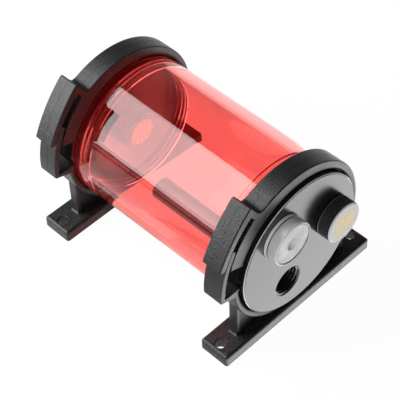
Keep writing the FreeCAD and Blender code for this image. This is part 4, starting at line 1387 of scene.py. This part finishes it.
# %% Patches of light and shade on the table
def table_light(name, colour, strength, height, outlines):
    """Patches on the table that show only in mirrors: outlines (x, y) in mm, clear to the eye itself."""
    material, tree, output = new_material(name)
    path = add_node(tree, "ShaderNodeLightPath")
    mirrored = add_node(tree, "ShaderNodeMath", {
        0: path.outputs["Glossy Depth"], 1: 0.5}, operation="GREATER_THAN")
    clear = add_node(tree, "ShaderNodeBsdfTransparent")
    bright = add_node(tree, "ShaderNodeEmission", {"Color": linear(colour), "Strength": strength})
    either = add_node(tree, "ShaderNodeMixShader", {
        0: mirrored.outputs[0], 1: clear.outputs["BSDF"], 2: bright.outputs["Emission"]})
    tree.links.new(either.outputs["Shader"], output.inputs["Surface"])
    starts = np.cumsum([0] + [len(outline) for outline in outlines]).tolist()
    flat = np.concatenate(outlines)
    points = np.column_stack([flat, np.full(len(flat), height)]) * MM
    faces = [list(range(start, end)) for start, end in zip(starts, starts[1:])]
    patch = stage_sheet(name, points.tolist(), faces, material)
    patch.visible_camera = patch.visible_diffuse = patch.visible_shadow = False
    print(f"{name}: {len(outlines)} patches, strength {strength}")


def oblong(left, right, near, far):
    """The corners of a rectangle on the table."""
    return np.array([(left, near), (right, near), (right, far), (left, far)])


def mirrored_disc(radius, y):
    """Where the table is mirrored to the camera by a disc that faces the front, about the tube's axis.

    A ray from the camera to the disc's rim is turned back along Y and runs on down to the table.
    """
    rim = polar(radius, np.arange(0, 360, 7.5))
    fall = (rim[:, 1:] + AXIS_Z) / back.z
    return np.column_stack([rim[:, 0], np.full(len(rim), y)]) + fall * [-back.x, back.y]


REAR_FACE = CAP_FACE - CAP_DEPTH
SHADE_R = RING_R + 12.0
table_light("lit_table", "#ffffff", 3.1, 0.3, [
    oblong(-70, 110, -160, -50.6), oblong(42, 110, -50.6, 8), mirrored_disc(TUBE_BORE, REAR_FACE)])
table_light("red_light_on_table", "#ffbdb8", 1.0, 0.25, [oblong(-40, -19, -30, 44)])
table_light("shade_on_table", "#ffffff", 0.62, 0.2, [oblong(-80, -40.5, -56, 8)])
table_light("shade_under_tube", "#ffffff", 0.35, 0.15, [mirrored_disc(SHADE_R, REAR_FACE)])
# Shade to the left of the object, seen only in mirrors.
table_light("shade_left_of_object", "#ffffff", 0.25, 0.1, [
    oblong(-250, -70, -250, -56), oblong(-250, -66, -5, 30)])

# %% [markdown]
# ## World
# A dim studio: brighter beyond the object than on the near side, with a dark ceiling. The World has no
# place, only directions, so a dot product and the direction's height give its brightness. The Standard
# view transform shows colours as they are written, with no film curve.

# %% World
NEAR_GLOW, FAR_GLOW, CEILING_GLOW = 0.04, 0.32, 0.15

level_back = Vector((back.x, back.y, 0.0)).normalized()
world = bpy.data.worlds.new("studio")
bpy.context.scene.world = world
world.use_nodes = True
tree = world.node_tree
tree.nodes.clear()
direction = add_node(tree, "ShaderNodeTexCoord").outputs["Generated"]
away = add_node(tree, "ShaderNodeVectorMath", {0: direction, 1: tuple(-level_back)}, operation="DOT_PRODUCT")
glow = add_node(tree, "ShaderNodeMapRange", {
    "Value": away.outputs["Value"], "From Min": -0.4, "From Max": 0.6,
    "To Min": NEAR_GLOW, "To Max": FAR_GLOW})
height = add_node(tree, "ShaderNodeSeparateXYZ", {0: direction})
ceiling = add_node(tree, "ShaderNodeMapRange", {
    "Value": height.outputs["Z"], "From Min": 0.2, "From Max": 0.8, "To Min": 1.0, "To Max": CEILING_GLOW})
sky_glow = add_node(tree, "ShaderNodeMath", {
    0: glow.outputs["Result"], 1: ceiling.outputs["Result"]}, operation="MULTIPLY")
sky = add_node(tree, "ShaderNodeBackground", {"Strength": sky_glow.outputs[0]})
add_node(tree, "ShaderNodeOutputWorld", {"Surface": sky.outputs["Background"]})
bpy.context.scene.view_settings.view_transform = "Standard"
print(f"world: {NEAR_GLOW} on the near side to {FAR_GLOW} beyond")
